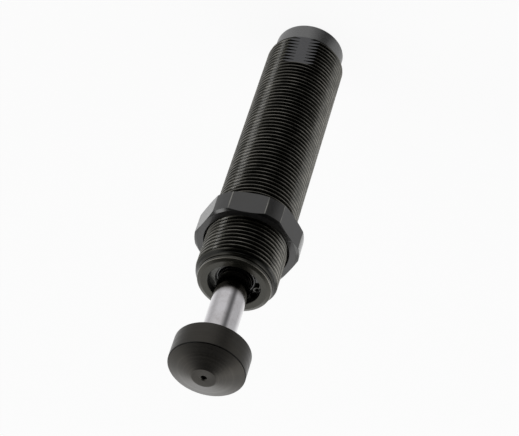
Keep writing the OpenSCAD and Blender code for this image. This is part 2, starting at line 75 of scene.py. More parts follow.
def linear(colour):
    """An sRGB hex colour as linear red, green, blue and full alpha."""
    channels = [int(colour[i : i + 2], 16) / 255 for i in (1, 3, 5)]
    return [c / 12.92 if c <= 0.04045 else ((c + 0.055) / 1.055) ** 2.4 for c in channels] + [1]


def add_node(tree, kind, inputs=(), **settings):
    """Adds a node with its settings. Inputs come by name or in order, and a socket is linked."""
    node = tree.nodes.new(kind)
    for name, value in settings.items():
        setattr(node, name, value)
    for name, value in inputs.items() if isinstance(inputs, dict) else enumerate(inputs):
        if isinstance(value, bpy.types.NodeSocket):
            tree.links.new(value, node.inputs[name])
        else:
            node.inputs[name].default_value = value
    return node


def new_material(name, **shader_values):
    """A material with one Principled shader, whose own sockets take the constant values."""
    material = bpy.data.materials.new(name)
    material.use_nodes = True
    shader = material.node_tree.nodes["Principled BSDF"]
    for socket, value in shader_values.items():
        shader.inputs[socket.replace("_", " ")].default_value = value
    return material, material.node_tree, shader


def rounded(corners, steps=3):
    """Outline points from (radius, height, rounding) corners in mm, each rounding as an arc."""
    points = []
    count = len(corners)
    for i, (r, z, rounding) in enumerate(corners):
        here = Vector((r, z))
        before = Vector(corners[i - 1][:2]) - here
        after = Vector(corners[(i + 1) % count][:2]) - here
        if not rounding:
            points.append(here)
            continue
        reach = min(rounding, 0.45 * before.length, 0.45 * after.length)
        start, end = here + before.normalized() * reach, here + after.normalized() * reach
        for k in range(steps + 1):
            t = k / steps
            points.append((1 - t) ** 2 * start + 2 * t * (1 - t) * here + t**2 * end)
    return points


def turned_mesh(name, corners, around=AROUND, closed=True, steps=3):
    """Turns an outline of (radius, height, rounding) corners in mm about the rod's axis."""
    outline = rounded(corners, steps) if closed else [Vector(c[:2]) for c in corners]
    mesh = bmesh.new()
    rows = []
    for r, z in outline:
        if r < 1e-6:
            rows.append([mesh.verts.new((0, 0, z * MM))] * around)
        else:
            rows.append([
                mesh.verts.new((
                    r * MM * math.cos(2 * math.pi * k / around),
                    r * MM * math.sin(2 * math.pi * k / around),
                    z * MM,
                ))
                for k in range(around)
            ])
    for i in range(len(rows) if closed else len(rows) - 1):
        low, high = rows[i], rows[(i + 1) % len(rows)]
        for k in range(around):
            n = (k + 1) % around
            ring = list(dict.fromkeys([low[k], low[n], high[n], high[k]]))
            if len(ring) > 2:
                mesh.faces.new(ring)
    bmesh.ops.recalc_face_normals(mesh, faces=mesh.faces)
    data = bpy.data.meshes.new(name)
    mesh.to_mesh(data)
    mesh.free()
    return data


def new_piece(name, data, material):
    """An object at the origin for a mesh that already lies in place."""
    piece = bpy.data.objects.new(name, data)
    bpy.context.scene.collection.objects.link(piece)
    data.materials.clear()
    data.materials.append(material)
    return piece


def made_plain(piece):
    """Turns a piece with modifiers into a plain closed mesh of one material, without modifiers."""
    graph = bpy.context.evaluated_depsgraph_get()
    data = bpy.data.meshes.new_from_object(piece.evaluated_get(graph), depsgraph=graph)
    piece.modifiers.clear()
    piece.data = data
    material = data.materials[0]
    data.materials.clear()
    data.materials.append(material)
    mesh = bmesh.new()
    mesh.from_mesh(data)
    for face in mesh.faces:
        face.material_index = 0
    bmesh.ops.remove_doubles(mesh, verts=mesh.verts, dist=MERGE)
    bmesh.ops.dissolve_degenerate(mesh, edges=mesh.edges, dist=MERGE / 4)
    bmesh.ops.recalc_face_normals(mesh, faces=mesh.faces)
    mesh.to_mesh(data)
    mesh.free()
    return piece


def smoothed(piece, sharp_degrees=30):
    """Smooth shading that stops at real edges, with normals led by the large faces."""
    mesh = bmesh.new()
    mesh.from_mesh(piece.data)
    for face in mesh.faces:
        face.smooth = True
    for edge in mesh.edges:
        edge.smooth = edge.calc_face_angle(math.pi) < math.radians(sharp_degrees)
    mesh.to_mesh(piece.data)
    mesh.free()
    normals = piece.modifiers.new("edge normals", "WEIGHTED_NORMAL")
    normals.keep_sharp = True
    normals.weight = 60
    return piece


def round_place(nodes):
    """Places on a turned piece in mm: the point itself, its radius and its height."""
    place = add_node(nodes, "ShaderNodeTexCoord").outputs["Object"]
    in_mm = add_node(nodes, "ShaderNodeVectorMath", {0: place, "Scale": 1000}, operation="SCALE")
    in_mm = in_mm.outputs[0]
    flat = add_node(nodes, "ShaderNodeVectorMath", (in_mm, (1, 1, 0)), operation="MULTIPLY")
    radius = add_node(nodes, "ShaderNodeVectorMath", (flat.outputs[0],), operation="LENGTH")
    height = add_node(nodes, "ShaderNodeSeparateXYZ", (in_mm,)).outputs["Z"]
    return in_mm, radius.outputs["Value"], height


def worked_surface(nodes, shader, pattern, span, dull, strength, deep):
    """Lets one pattern drive both how dull a surface is and its fine relief, which is deep mm."""
    dullness = add_node(nodes, "ShaderNodeMapRange", (pattern, *span, *dull))
    nodes.links.new(dullness.outputs["Result"], shader.inputs["Roughness"])
    relief = add_node(nodes, "ShaderNodeBump", {
        "Height": pattern, "Strength": strength, "Distance": deep * MM,
    })
    nodes.links.new(relief.outputs["Normal"], shader.inputs["Normal"])


def tool_marks(nodes, shader, radius, height, per_mm, dull, strength):
    """Fine rings left by the lathe or mould, drawn coarser than they are so that they show."""
    across = add_node(nodes, "ShaderNodeCombineXYZ", {"X": radius, "Y": height})
    marks = add_node(nodes, "ShaderNodeTexNoise", {
        "Vector": across.outputs[0], "Scale": per_mm, "Detail": 3,
    }).outputs["Fac"]
    worked_surface(nodes, shader, marks, (0.3, 0.7), dull, strength, 0.01)


def ringed_finish(name, colours, cloud, marks, **shader_values):
    """A turned or moulded surface: a film that drifts between two colours, under fine rings."""
    material, nodes, shader = new_material(name, **shader_values)
    in_mm, radius, height = round_place(nodes)
    clouds = add_node(nodes, "ShaderNodeTexNoise", {
        "Vector": in_mm, "Scale": cloud[0], "Detail": cloud[1],
    })
    film = add_node(nodes, "ShaderNodeMix", {
        0: clouds.outputs["Fac"], 6: linear(colours[0]), 7: linear(colours[1]),
    }, data_type="RGBA")
    nodes.links.new(film.outputs[2], shader.inputs["Base Color"])
    tool_marks(nodes, shader, radius, height, *marks)
    return material


# Black oxide on turned steel: a dark satin film, a little warmer in patches. The thread's roots
# are darkened by oil and by painted shade, and the crests are painted lighter, partly where the nut
# has rubbed the steel grey and partly as a painted highlight. An oil film over it all gives the
# thin bright lines.
body_oxide, nodes, shader = new_material(
    "black_oxide_threaded_steel", Metallic=0.9, Coat_Weight=0.35, Coat_Roughness=0.12,
)
in_mm, radius, height = round_place(nodes)
patches = add_node(nodes, "ShaderNodeTexNoise", {"Vector": in_mm, "Scale": 0.12, "Detail": 4})
film = add_node(nodes, "ShaderNodeMix", {
    0: patches.outputs["Fac"], 6: linear(BLACKENED), 7: linear(BLACKENED_WARM),
}, data_type="RGBA")
# Painted shade together with oil: the thread's roots are darkened below the crests, fading out at
# the thread's front end.
in_thread = add_node(nodes, "ShaderNodeMapRange", {
    "Value": height, "From Min": THREAD_END, "From Max": THREAD_END - 0.6,
})
below_crest = add_node(nodes, "ShaderNodeMapRange", {
    "Value": radius, "From Min": OIL_AND_SHADE_BELOW, "From Max": OIL_AND_SHADE_FULLY,
})
root_oil_and_shade = add_node(nodes, "ShaderNodeMath", (
    below_crest.outputs["Result"], in_thread.outputs["Result"],
), operation="MULTIPLY")
root_oiled_and_shaded = add_node(nodes, "ShaderNodeMix", {
    0: root_oil_and_shade.outputs[0], 6: film.outputs[2], 7: linear(ROOT_OIL_AND_SHADE),
}, data_type="RGBA")
# The crests are painted lighter in patches: partly wear from the nut, partly a painted highlight.
crest_noise = add_node(nodes, "ShaderNodeTexNoise", {"Vector": in_mm, "Scale": 0.3, "Detail": 2})
wear_and_highlight_patches = add_node(nodes, "ShaderNodeMapRange", {
    "Value": crest_noise.outputs["Fac"], "From Min": 0.3, "From Max": 0.7,
})
crest = add_node(nodes, "ShaderNodeMapRange", {
    "Value": radius, "From Min": WEAR_AND_HIGHLIGHT_ABOVE, "From Max": WEAR_AND_HIGHLIGHT_FULLY,
})
lightened = add_node(nodes, "ShaderNodeMath", (
    crest.outputs["Result"], wear_and_highlight_patches.outputs["Result"],
), operation="MULTIPLY")
# A painted highlight: a thin ring at the spigot's front edge takes the crests' light grey too.
edge = add_node(nodes, "ShaderNodeMath", (radius, SPIGOT_R - 0.05, 0.09), operation="COMPARE")
at_front = add_node(nodes, "ShaderNodeMath", (height, SPIGOT_END - 0.15), operation="GREATER_THAN")
painted_edge_highlight = add_node(nodes, "ShaderNodeMath", (
    edge.outputs[0], at_front.outputs[0],
), operation="MULTIPLY")
lightened = add_node(nodes, "ShaderNodeMath", (
    lightened.outputs[0], painted_edge_highlight.outputs[0],
), operation="MAXIMUM")
colour_so_far = add_node(nodes, "ShaderNodeMix", {
    0: lightened.outputs[0], 6: root_oiled_and_shaded.outputs[2], 7: linear(WORN_AND_HIGHLIGHT_GREY),
}, data_type="RGBA")
# The flats and the collar are smoother and only lightly oiled, so they mirror more light.
across = add_node(nodes, "ShaderNodeSeparateXYZ", (in_mm,)).outputs["Y"]
across = add_node(nodes, "ShaderNodeMath", (across,), operation="ABSOLUTE")
on_flat = add_node(nodes, "ShaderNodeMath", (across.outputs[0], FLAT_Y, 0.03), operation="COMPARE")
near_rear = add_node(nodes, "ShaderNodeMath", (height, FLAT_END), operation="LESS_THAN")
on_flat = add_node(nodes, "ShaderNodeMath", (
    on_flat.outputs[0], near_rear.outputs[0],
), operation="MULTIPLY")
colour_so_far = add_node(nodes, "ShaderNodeMix", {
    0: on_flat.outputs[0], 6: colour_so_far.outputs[2], 7: linear(FLAT_GREY),
}, data_type="RGBA")
on_collar = add_node(nodes, "ShaderNodeMapRange", {
    "Value": height, "From Min": COLLAR_END + 0.4, "From Max": COLLAR_END,
})
finish = add_node(nodes, "ShaderNodeMix", {
    0: on_collar.outputs["Result"], 6: colour_so_far.outputs[2], 7: linear(COLLAR_GREY),
}, data_type="RGBA")
nodes.links.new(finish.outputs[2], shader.inputs["Base Color"])
tool_marks(nodes, shader, radius, height, 7, (0.24, 0.36), 0.15)

# Black oxide in the bore, matt and painted near black as the shade inside the bore. nothing rubs it
# there, so it stays matt and deep black.
bore_oxide_and_shade = ringed_finish(
    "shaded_black_oxide_bored_steel", ("#0b0b09", "#151513"), (0.4, 3), (5, (0.45, 0.6), 0.3),
    Metallic=0.8,
)


def new_tree(name, sizes, counts):
    """A Geometry Nodes tree with a named input for each size and count and for the material."""
    tree = bpy.data.node_groups.new(name, "GeometryNodeTree")
    kinds = {"Geometry": "Geometry", "Material": "Material"}
    kinds.update(dict.fromkeys(sizes, "Float"), **dict.fromkeys(counts, "Int"))
    for label, kind in kinds.items():
        tree.interface.new_socket(label, in_out="INPUT", socket_type="NodeSocket" + kind)
    tree.interface.new_socket("Geometry", in_out="OUTPUT", socket_type="NodeSocketGeometry")
    known = dict(add_node(tree, "NodeGroupInput").outputs.items())
    known["index"] = add_node(tree, "GeometryNodeInputIndex").outputs[0]
    return tree, known


def add_row(tree, kind, known, steps, setting="operation"):
    """Adds nodes of a kind one after another: each names its result, its setting, its inputs."""
    for name, choice, *terms in steps:
        inputs = [known.get(term, term) for term in terms]
        known[name] = add_node(tree, kind, inputs, **{setting: choice}).outputs[0]


def moved_to(tree, known, geometry):
    """The tree's geometry with each point at the x, y and z that were worked out for it."""
    place = add_node(tree, "ShaderNodeCombineXYZ", [known[way] for way in "xyz"])
    return add_node(tree, "GeometryNodeSetPosition", {
        "Geometry": geometry, "Position": place.outputs[0],
    }).outputs[0]


def end_tree(tree, known, geometry):
    """Makes the tree's result real geometry of the given material."""
    real = add_node(tree, "GeometryNodeRealizeInstances", {"Geometry": geometry})
    finished = add_node(tree, "GeometryNodeSetMaterial", {
        "Geometry": real.outputs[0], "Material": known["Material"],
    })
    add_node(tree, "NodeGroupOutput", (finished.outputs[0],))


def run_tree(piece, tree, values):
    """Runs a tree on a piece, each input set by its socket's identifier, and makes it plain."""
    maker = piece.modifiers.new(tree.name, "NODES")
    maker.node_group = tree
    for socket in tree.interface.items_tree:
        if socket.in_out == "INPUT" and socket.name in values:
            maker[socket.identifier] = values[socket.name]
    return made_plain(piece)


# The thread is one ribbon that climbs the body: each column holds one pitch of its profile, and
# the columns stand side by side round and round until they reach the other end.
thread_sizes = {
    "Crest Radius": THREAD_R * MM, "Root Radius": (THREAD_R - THREAD_DEPTH) * MM,
    "Pitch": THREAD_PITCH * MM, "Start Height": COLLAR_END * MM, "Start Radius": COLLAR_R * MM,
    "Lead In End": THREAD_LEAD_END * MM, "Lead Out Start": THREAD_LEAD_START * MM,
    "End Height": THREAD_END * MM, "End Radius": SPIGOT_R * MM, "Merge Distance": MERGE,
}
thread_counts = {
    "Columns In A Turn": AROUND, "Turns": math.ceil((THREAD_END - COLLAR_END) / THREAD_PITCH) + 2,
}
cut_thread, known = new_tree("cut_thread", thread_sizes, thread_counts)

# One pitch of the profile as (share of the pitch, share of the depth): a rounded root, a flank,
# a crest with both edges broken, and the flank down to the next root.
THREAD_PROFILE = (
    (0, 0.03), (0.083, 0), (0.167, 0.03), (0.475, 0.95),
    (0.5, 1), (0.655, 1), (0.68, 0.95), (1, 0.03),
)
rows = len(THREAD_PROFILE)
thread_steps = [
    ("steps up", "MULTIPLY", "Columns In A Turn", "Turns"), ("columns", "ADD", "steps up", 1),
    ("column", "ADD", "index", 0.5), ("column", "DIVIDE", "column", rows),
    ("column", "FLOOR", "column"), ("row", "MULTIPLY", "column", rows),
    ("row", "SUBTRACT", "index", "row"), ("row", "ROUND", "row"),
]
known["rise"] = known["lift"] = 0.0
for number, (pitch_share, depth_share) in enumerate(THREAD_PROFILE):
    thread_steps += [
        ("here", "COMPARE", "row", number, 0.25),
        ("rise", "MULTIPLY_ADD", "here", pitch_share, "rise"),
        ("lift", "MULTIPLY_ADD", "here", depth_share, "lift"),
    ]
thread_steps += [
    ("turns done", "DIVIDE", "column", "Columns In A Turn"),
    ("angle", "ADD", "turns done", 1e-5), ("angle", "FRACT", "angle"),
    ("angle", "MULTIPLY", "angle", 2 * math.pi),
    ("climb", "SUBTRACT", "turns done", 1), ("climb", "ADD", "climb", "rise"),
    ("climb", "MULTIPLY", "climb", "Pitch"), ("z", "ADD", "climb", "Start Height"),
    ("z", "MAXIMUM", "z", "Start Height"), ("z", "MINIMUM", "z", "End Height"),
    ("depth", "SUBTRACT", "Crest Radius", "Root Radius"),
    ("profile", "MULTIPLY_ADD", "lift", "depth", "Root Radius"),
]
add_row(cut_thread, "ShaderNodeMath", known, thread_steps)
add_row(cut_thread, "ShaderNodeMapRange", known, (
    ("lead in", "LINEAR", "z", "Start Height", "Lead In End", "Start Radius", "Crest Radius"),
    ("lead out", "LINEAR", "z", "Lead Out Start", "End Height", "Crest Radius", "End Radius"),
), "interpolation_type")
add_row(cut_thread, "ShaderNodeMath", known, (
    ("lead", "MINIMUM", "lead in", "lead out"), ("radius", "MINIMUM", "profile", "lead"),
    ("x", "COSINE", "angle"), ("x", "MULTIPLY", "radius", "x"),
    ("y", "SINE", "angle"), ("y", "MULTIPLY", "radius", "y"),
))
ribbon = add_node(cut_thread, "GeometryNodeMeshGrid", {
    "Size X": known["steps up"], "Size Y": 1, "Vertices X": known["columns"], "Vertices Y": rows,
})
joined = add_node(cut_thread, "GeometryNodeJoinGeometry")
for skin in (moved_to(cut_thread, known, ribbon.outputs["Mesh"]), known["Geometry"]):
    cut_thread.links.new(skin, joined.inputs[0])
welded = add_node(cut_thread, "GeometryNodeMergeByDistance", {
    "Geometry": joined.outputs[0], "Distance": known["Merge Distance"],
})
end_tree(cut_thread, known, welded.outputs[0])

# The blank has no skin between the collar and the spigot: the thread is its skin there. Apart
# from the collar's chamfer, its edges are broken by up to 0.25 mm.
body_blank = turned_mesh("body_blank", [
    (COLLAR_R, COLLAR_END, 0),
    (COLLAR_R, COLLAR_CHAMFER + 0.06, 0),
    (COLLAR_R - 0.03, COLLAR_CHAMFER - 0.03, 0),
    (COLLAR_R - COLLAR_CHAMFER + 0.03, 0.03, 0),
    (COLLAR_R - COLLAR_CHAMFER - 0.06, 0, 0),
    (BORE_R + 0.2, 0, 0),
    (BORE_R, 0.2, 0),
    (BORE_R, REAR_GROOVE[0], 0),
    (BORE_R + CLIP_GROOVE_DEPTH, REAR_GROOVE[0], 0),
    (BORE_R + CLIP_GROOVE_DEPTH, REAR_GROOVE[1], 0),
    (BORE_R, REAR_GROOVE[1], 0),
    (BORE_R, BORE_END, 0),
    (FRONT_BORE_R, BORE_END, 0),
    (FRONT_BORE_R, FRONT_GROOVE[0], 0),
    (FRONT_BORE_R + CLIP_GROOVE_DEPTH, FRONT_GROOVE[0], 0),
    (FRONT_BORE_R + CLIP_GROOVE_DEPTH, FRONT_GROOVE[1], 0),
    (FRONT_BORE_R, FRONT_GROOVE[1], 0),
    (FRONT_BORE_R, BODY_TOP - 0.15, 0),
    (FRONT_BORE_R + 0.15, BODY_TOP, 0),
    (FRONT_FACE_R - 0.1, BODY_TOP, 0),
    (FRONT_FACE_R + 0.1, BODY_TOP - 0.03, 0),
    (SPIGOT_R - 0.25, SPIGOT_END + 0.07, 0),
    (SPIGOT_R - 0.12, SPIGOT_END + 0.01, 0),
    (SPIGOT_R - 0.03, SPIGOT_END - 0.08, 0),
    (SPIGOT_R, SPIGOT_END - 0.2, 0),
    (SPIGOT_R, SPIGOT_START + 0.05, 0),
    (SPIGOT_R - 0.05, SPIGOT_START, 0),
    (NECK_R, SPIGOT_START, 0),
    (NECK_R, THREAD_END, 0),
    (SPIGOT_R, THREAD_END, 0),
], closed=False)
body = new_piece("threaded_body", body_blank, body_oxide)
run_tree(body, cut_thread, {**thread_sizes, **thread_counts, "Material": body_oxide})


def mill(piece, cutter, operation="DIFFERENCE", edge_break=0):
    """Cuts a piece with a cutter, breaks the new edges by so many mm, and drops the cutter."""
    milling = piece.modifiers.new("milling", "BOOLEAN")
    milling.operation, milling.solver, milling.object = operation, "MANIFOLD", cutter
    if edge_break:
        broken = piece.modifiers.new("broken edges", "BEVEL")
        broken.width, broken.segments, broken.angle_limit = edge_break * MM, 2, math.radians(12)
    made_plain(piece)
    bpy.data.objects.remove(cutter)


# The wrench flats are milled off by a pair of blocks, one on each side.
BLOCK_LENGTH, BLOCK_DEPTH = 40, 10
flat_cut = bmesh.new()
for side in (-1, 1):
    block = bmesh.ops.create_cube(flat_cut, size=1)["verts"]
    for vertex in block:
        x, y, z = vertex.co
        vertex.co = (
            x * BLOCK_LENGTH * MM,
            (side * (FLAT_Y + BLOCK_DEPTH / 2) + y * BLOCK_DEPTH) * MM,
            ((COLLAR_END + FLAT_END) / 2 + z * (FLAT_END - COLLAR_END)) * MM,
        )
flat_blocks = bpy.data.meshes.new("flat_blocks")
flat_cut.to_mesh(flat_blocks)
flat_cut.free()
mill(body, new_piece("flat_mill", flat_blocks, body_oxide))
# The bore's faces take the near-black material of painted shade.
body.data.materials.append(bore_oxide_and_shade)
for face in body.data.polygons:
    x, y, z = face.center / MM
    if math.hypot(x, y) < BORE_R + CLIP_GROOVE_DEPTH + 0.05 and REAR_GROOVE[0] < z < BODY_TOP - 0.2:
        face.material_index = 1
smoothed(body, 6)
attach(body, "housing")
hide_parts("body_tube")

# Lock nut: clamps the body in its bracket. Steel, blackened, six flats with the corners turned
# off, and it runs on the body's thread.
NUT_LOW, NUT_HIGH = 83.8, 91.8
NUT_FLAT_R, NUT_CORNER_R, NUT_FACE_R, NUT_BEVEL = 14.998, 15.99, 15.1, 0.52
NUT_BORE_R, NUT_MOUTH_R = 12.54, 13.15
FLAT_TO_CORNER, RUB_HALF_WIDTH = 30, 0.55  # degrees of turn
NUT_COLOUR = "#484849"
NUT_WORN = "#8f8e88"

# Black oxide on milled steel: a greyer film than the body's, under oil, rubbed grey in places on
# the corners' edges. Its grain is finer than the eye, drawn at a fifth of a millimetre.
nut_oxide, nodes, shader = new_material(
    "black_oxide_milled_steel", Metallic=0.85, Coat_Weight=0.5, Coat_Roughness=0.12,
)
in_mm, radius, height = round_place(nodes)
grain = add_node(nodes, "ShaderNodeTexNoise", {
    "Vector": in_mm, "Scale": 5, "Detail": 5, "Roughness": 0.7,
}).outputs["Fac"]
patches = add_node(nodes, "ShaderNodeTexNoise", {
    "Vector": in_mm, "Scale": 0.15, "Detail": 3,
}).outputs["Fac"]
film = add_node(nodes, "ShaderNodeMix", {
    0: patches, 6: linear(NUT_COLOUR), 7: linear("#454442"),
}, data_type="RGBA")
# The two edges of each turned corner are found by their bearing, and only on the corner itself.
place = add_node(nodes, "ShaderNodeSeparateXYZ", (in_mm,)).outputs
turn = add_node(nodes, "ShaderNodeMath", (place["Y"], place["X"]), operation="ARCTAN2")
turn = add_node(nodes, "ShaderNodeMath", (turn.outputs[0],), operation="DEGREES")
from_flat = add_node(nodes, "ShaderNodeMath", (
    turn.outputs[0], FLAT_TO_CORNER,
), operation="PINGPONG")
corner = add_node(nodes, "ShaderNodeMath", (
    from_flat.outputs[0],
    FLAT_TO_CORNER - math.degrees(math.acos(NUT_FLAT_R / NUT_CORNER_R)),
    RUB_HALF_WIDTH,
), operation="COMPARE")
outermost = add_node(nodes, "ShaderNodeMapRange", {
    "Value": radius, "From Min": NUT_CORNER_R - 0.11, "From Max": NUT_CORNER_R - 0.07,
})
corner = add_node(nodes, "ShaderNodeMath", (
    corner.outputs[0], outermost.outputs["Result"],
), operation="MULTIPLY")
corner_rub = add_node(nodes, "ShaderNodeMapRange", {
    "Value": patches, "From Min": 0.3, "From Max": 0.6,
})
lightened = add_node(nodes, "ShaderNodeMath", (
    corner.outputs[0], corner_rub.outputs["Result"],
), operation="MULTIPLY")
colour_so_far = add_node(nodes, "ShaderNodeMix", {
    0: lightened.outputs[0], 6: film.outputs[2], 7: linear(NUT_WORN),
}, data_type="RGBA")
# Painted shade: the turned bevel is coloured darker than the milled flats.
bevel_slope = (NUT_CORNER_R - NUT_FACE_R) / NUT_BEVEL
bevel_r = add_node(nodes, "ShaderNodeMath", (
    height, -bevel_slope, NUT_CORNER_R + bevel_slope * (NUT_HIGH - NUT_BEVEL),
), operation="MULTIPLY_ADD")
on_bevel = add_node(nodes, "ShaderNodeMath", (
    radius, bevel_r.outputs[0], 0.06,
), operation="COMPARE")
colour_so_far = add_node(nodes, "ShaderNodeMix", {
    0: on_bevel.outputs[0], 6: colour_so_far.outputs[2], 7: linear("#2a2a29"),
}, data_type="RGBA")
nodes.links.new(colour_so_far.outputs[2], shader.inputs["Base Color"])
worked_surface(nodes, shader, grain, (0, 1), (0.22, 0.4), 0.3, 0.01)

nut = new_piece("lock_nut_finished", turned_mesh("lock_nut_finished", [
    (NUT_BORE_R, NUT_LOW + NUT_MOUTH_R - NUT_BORE_R, 0),
    (NUT_MOUTH_R, NUT_LOW, 0),
    (NUT_FACE_R, NUT_LOW, 0),
    (NUT_CORNER_R, NUT_LOW + NUT_BEVEL, 0),
    (NUT_CORNER_R, NUT_HIGH - NUT_BEVEL, 0),
    (NUT_FACE_R, NUT_HIGH, 0),
    (NUT_MOUTH_R, NUT_HIGH, 0),
    (NUT_BORE_R, NUT_HIGH - NUT_MOUTH_R + NUT_BORE_R, 0),
], around=180), nut_oxide)


def hexagon_prism(name, across_flats, low, high, material):
    """A bare hexagon bar, a pair of its flats facing Y, to cut a hexagon on or into a piece."""
    corner_r = across_flats / 2 / math.cos(math.pi / 6) * MM
    bar = bmesh.new()
    bmesh.ops.create_cone(
        bar, cap_ends=True, segments=6, depth=(high - low) * MM, radius1=corner_r, radius2=corner_r,
        matrix=(
            Matrix.Translation((0, 0, (low + high) / 2 * MM)) @ Matrix.Rotation(math.pi / 6, 4, "Z")
        ),
    )
    data = bpy.data.meshes.new(name)
    bar.to_mesh(data)
    bar.free()
    return new_piece(name, data, material)


hexagon = hexagon_prism("hexagon_bar", 2 * NUT_FLAT_R, NUT_LOW - 5, NUT_HIGH + 5, nut_oxide)
mill(nut, hexagon, "INTERSECT", edge_break=0.14)
smoothed(nut, 32)
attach(nut, "lock_nut")
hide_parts("lock_nut")

# Piston rod: ground steel with hard chrome, which slides through the gland. Its rear end carries
# the piston, and its front end is pressed into the cap.
ROD_R, ROD_STEP, CAP_LOW = 5.0, 0.4, 133.0
PISTON_TOP, BOLT_R, ROD_TAIL, ROD_END_R, ROD_END = 55.72, 2.5, 44.12, 3.0, 138.5
ROD_SHADE_TOP, ROD_SHADE_FADE, ROD_SHADE_WAVE = 115.9, 3.0, 1.6  # the end of the rod's painted shade, in mm
CHROME = "#d4d2d5"

# Hard chrome on ground steel: a bright, neutral mirror with a few dull smears.
chrome, nodes, shader = new_material("hard_chrome_plate", Metallic=1.0)
in_mm, _, height = round_place(nodes)
smears = add_node(nodes, "ShaderNodeTexNoise", {
    "Vector": in_mm, "Scale": 0.3, "Detail": 4, "Roughness": 0.6,
}).outputs["Fac"]
smeared = add_node(nodes, "ShaderNodeMapRange", {
    "Value": smears, "From Min": 0.45, "From Max": 0.8,
})
film = add_node(nodes, "ShaderNodeMix", {
    0: smeared.outputs["Result"], 6: linear(CHROME), 7: linear("#bdb9ba"),
}, data_type="RGBA")
# Painted shade: the rod is darkened brown from the rear up to about 10 mm outside the wiper, where
# the dark mouth of the bore is mirrored in it, and the shade ends in an uneven edge.
rod_shade_edge = add_node(nodes, "ShaderNodeMath", (smears, ROD_SHADE_WAVE, height), operation="MULTIPLY_ADD")
rod_shaded = add_node(nodes, "ShaderNodeMapRange", {
    "Value": rod_shade_edge.outputs[0], "From Min": ROD_SHADE_TOP, "From Max": ROD_SHADE_TOP - ROD_SHADE_FADE,
    "To Max": 0.9,
}, interpolation_type="SMOOTHSTEP")
film = add_node(nodes, "ShaderNodeMix", {
    0: rod_shaded.outputs["Result"], 6: film.outputs[2], 7: linear("#4c4740"),
}, data_type="RGBA")
nodes.links.new(film.outputs[2], shader.inputs["Base Color"])
# Grinding leaves fine rings round the rod, drawn at 8 to the millimetre to show at all.
rings = add_node(nodes, "ShaderNodeMapping", {"Vector": in_mm, "Scale": (0.15, 0.15, 4)})
ground = add_node(nodes, "ShaderNodeTexNoise", {
    "Vector": rings.outputs[0], "Scale": 2, "Detail": 3,
}).outputs["Fac"]
worked_surface(nodes, shader, ground, (0, 1), (0.07, 0.17), 0.12, 0.004)
rod = smoothed(new_piece("chromed_rod", turned_mesh("chromed_rod", [
    (0, ROD_TAIL, 0),
    (BOLT_R, ROD_TAIL, 0.3),
    (BOLT_R, PISTON_TOP, 0),
    (ROD_R, PISTON_TOP, ROD_STEP),
    (ROD_R, CAP_LOW, 0),
    (ROD_END_R, CAP_LOW, 0),
    (ROD_END_R, ROD_END, 0.3),
    (0, ROD_END, 0),
]), chrome))
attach(rod, "rod")
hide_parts("piston_rod")

# Button cap: the hardened steel head that takes the blow, pressed on the rod. It is turned all
# over, with a shallow cone up to a small flat and a centre hole from the lathe.
CAP_R, CAP_SHOULDER, CAP_TOP = 11.4, 140.6, 143.9
CAP_DISC_R, CAP_HOLE_R, CAP_HOLE_SINK, CAP_HOLE_DEPTH = 3.65, 0.8, 0.3, 1.6
CAP_SOCKET_R, CAP_SOCKET_TOP = 3.03, 138.8
CAP_REAR_RIM, CAP_FRONT_RIM = 0.12, 0.3
CAP_COLOUR = "#3b3a38"

# Black oxide on finely turned steel: a warm satin black whose sheen runs round with the rings.
cap_oxide, nodes, shader = new_material(
    "black_oxide_turned_steel", Metallic=0.85, Anisotropic=0.35,
)
in_mm, radius, height = round_place(nodes)
patches = add_node(nodes, "ShaderNodeTexNoise", {"Vector": in_mm, "Scale": 0.14, "Detail": 4})
film = add_node(nodes, "ShaderNodeMix", {
    0: patches.outputs["Fac"], 6: linear(CAP_COLOUR), 7: linear("#413e39"),
}, data_type="RGBA")
# The lathe's feed leaves rings too fine to see, drawn at about half a millimetre, and the oxide
# lies thinner on their tops.
rings = add_node(nodes, "ShaderNodeCombineXYZ", {"X": radius, "Y": height})
rings = add_node(nodes, "ShaderNodeTexNoise", {
    "Vector": rings.outputs[0], "Scale": 2.2, "Detail": 2,
})
ring_tops = add_node(nodes, "ShaderNodeMapRange", {
    "Value": rings.outputs["Fac"], "From Min": 0.5, "From Max": 0.75,
})
# The side is cut with a finer feed than the front, so its rings show less.
on_front = add_node(nodes, "ShaderNodeMapRange", {
    "Value": radius, "From Min": CAP_R - 0.04, "From Max": CAP_R - 0.2, "To Min": 0.35,
})
ring_tops = add_node(nodes, "ShaderNodeMath", (
    ring_tops.outputs["Result"], on_front.outputs["Result"],
), operation="MULTIPLY")
film = add_node(nodes, "ShaderNodeMix", {
    0: ring_tops.outputs[0], 6: film.outputs[2], 7: linear("#4f4c47"),
}, data_type="RGBA")
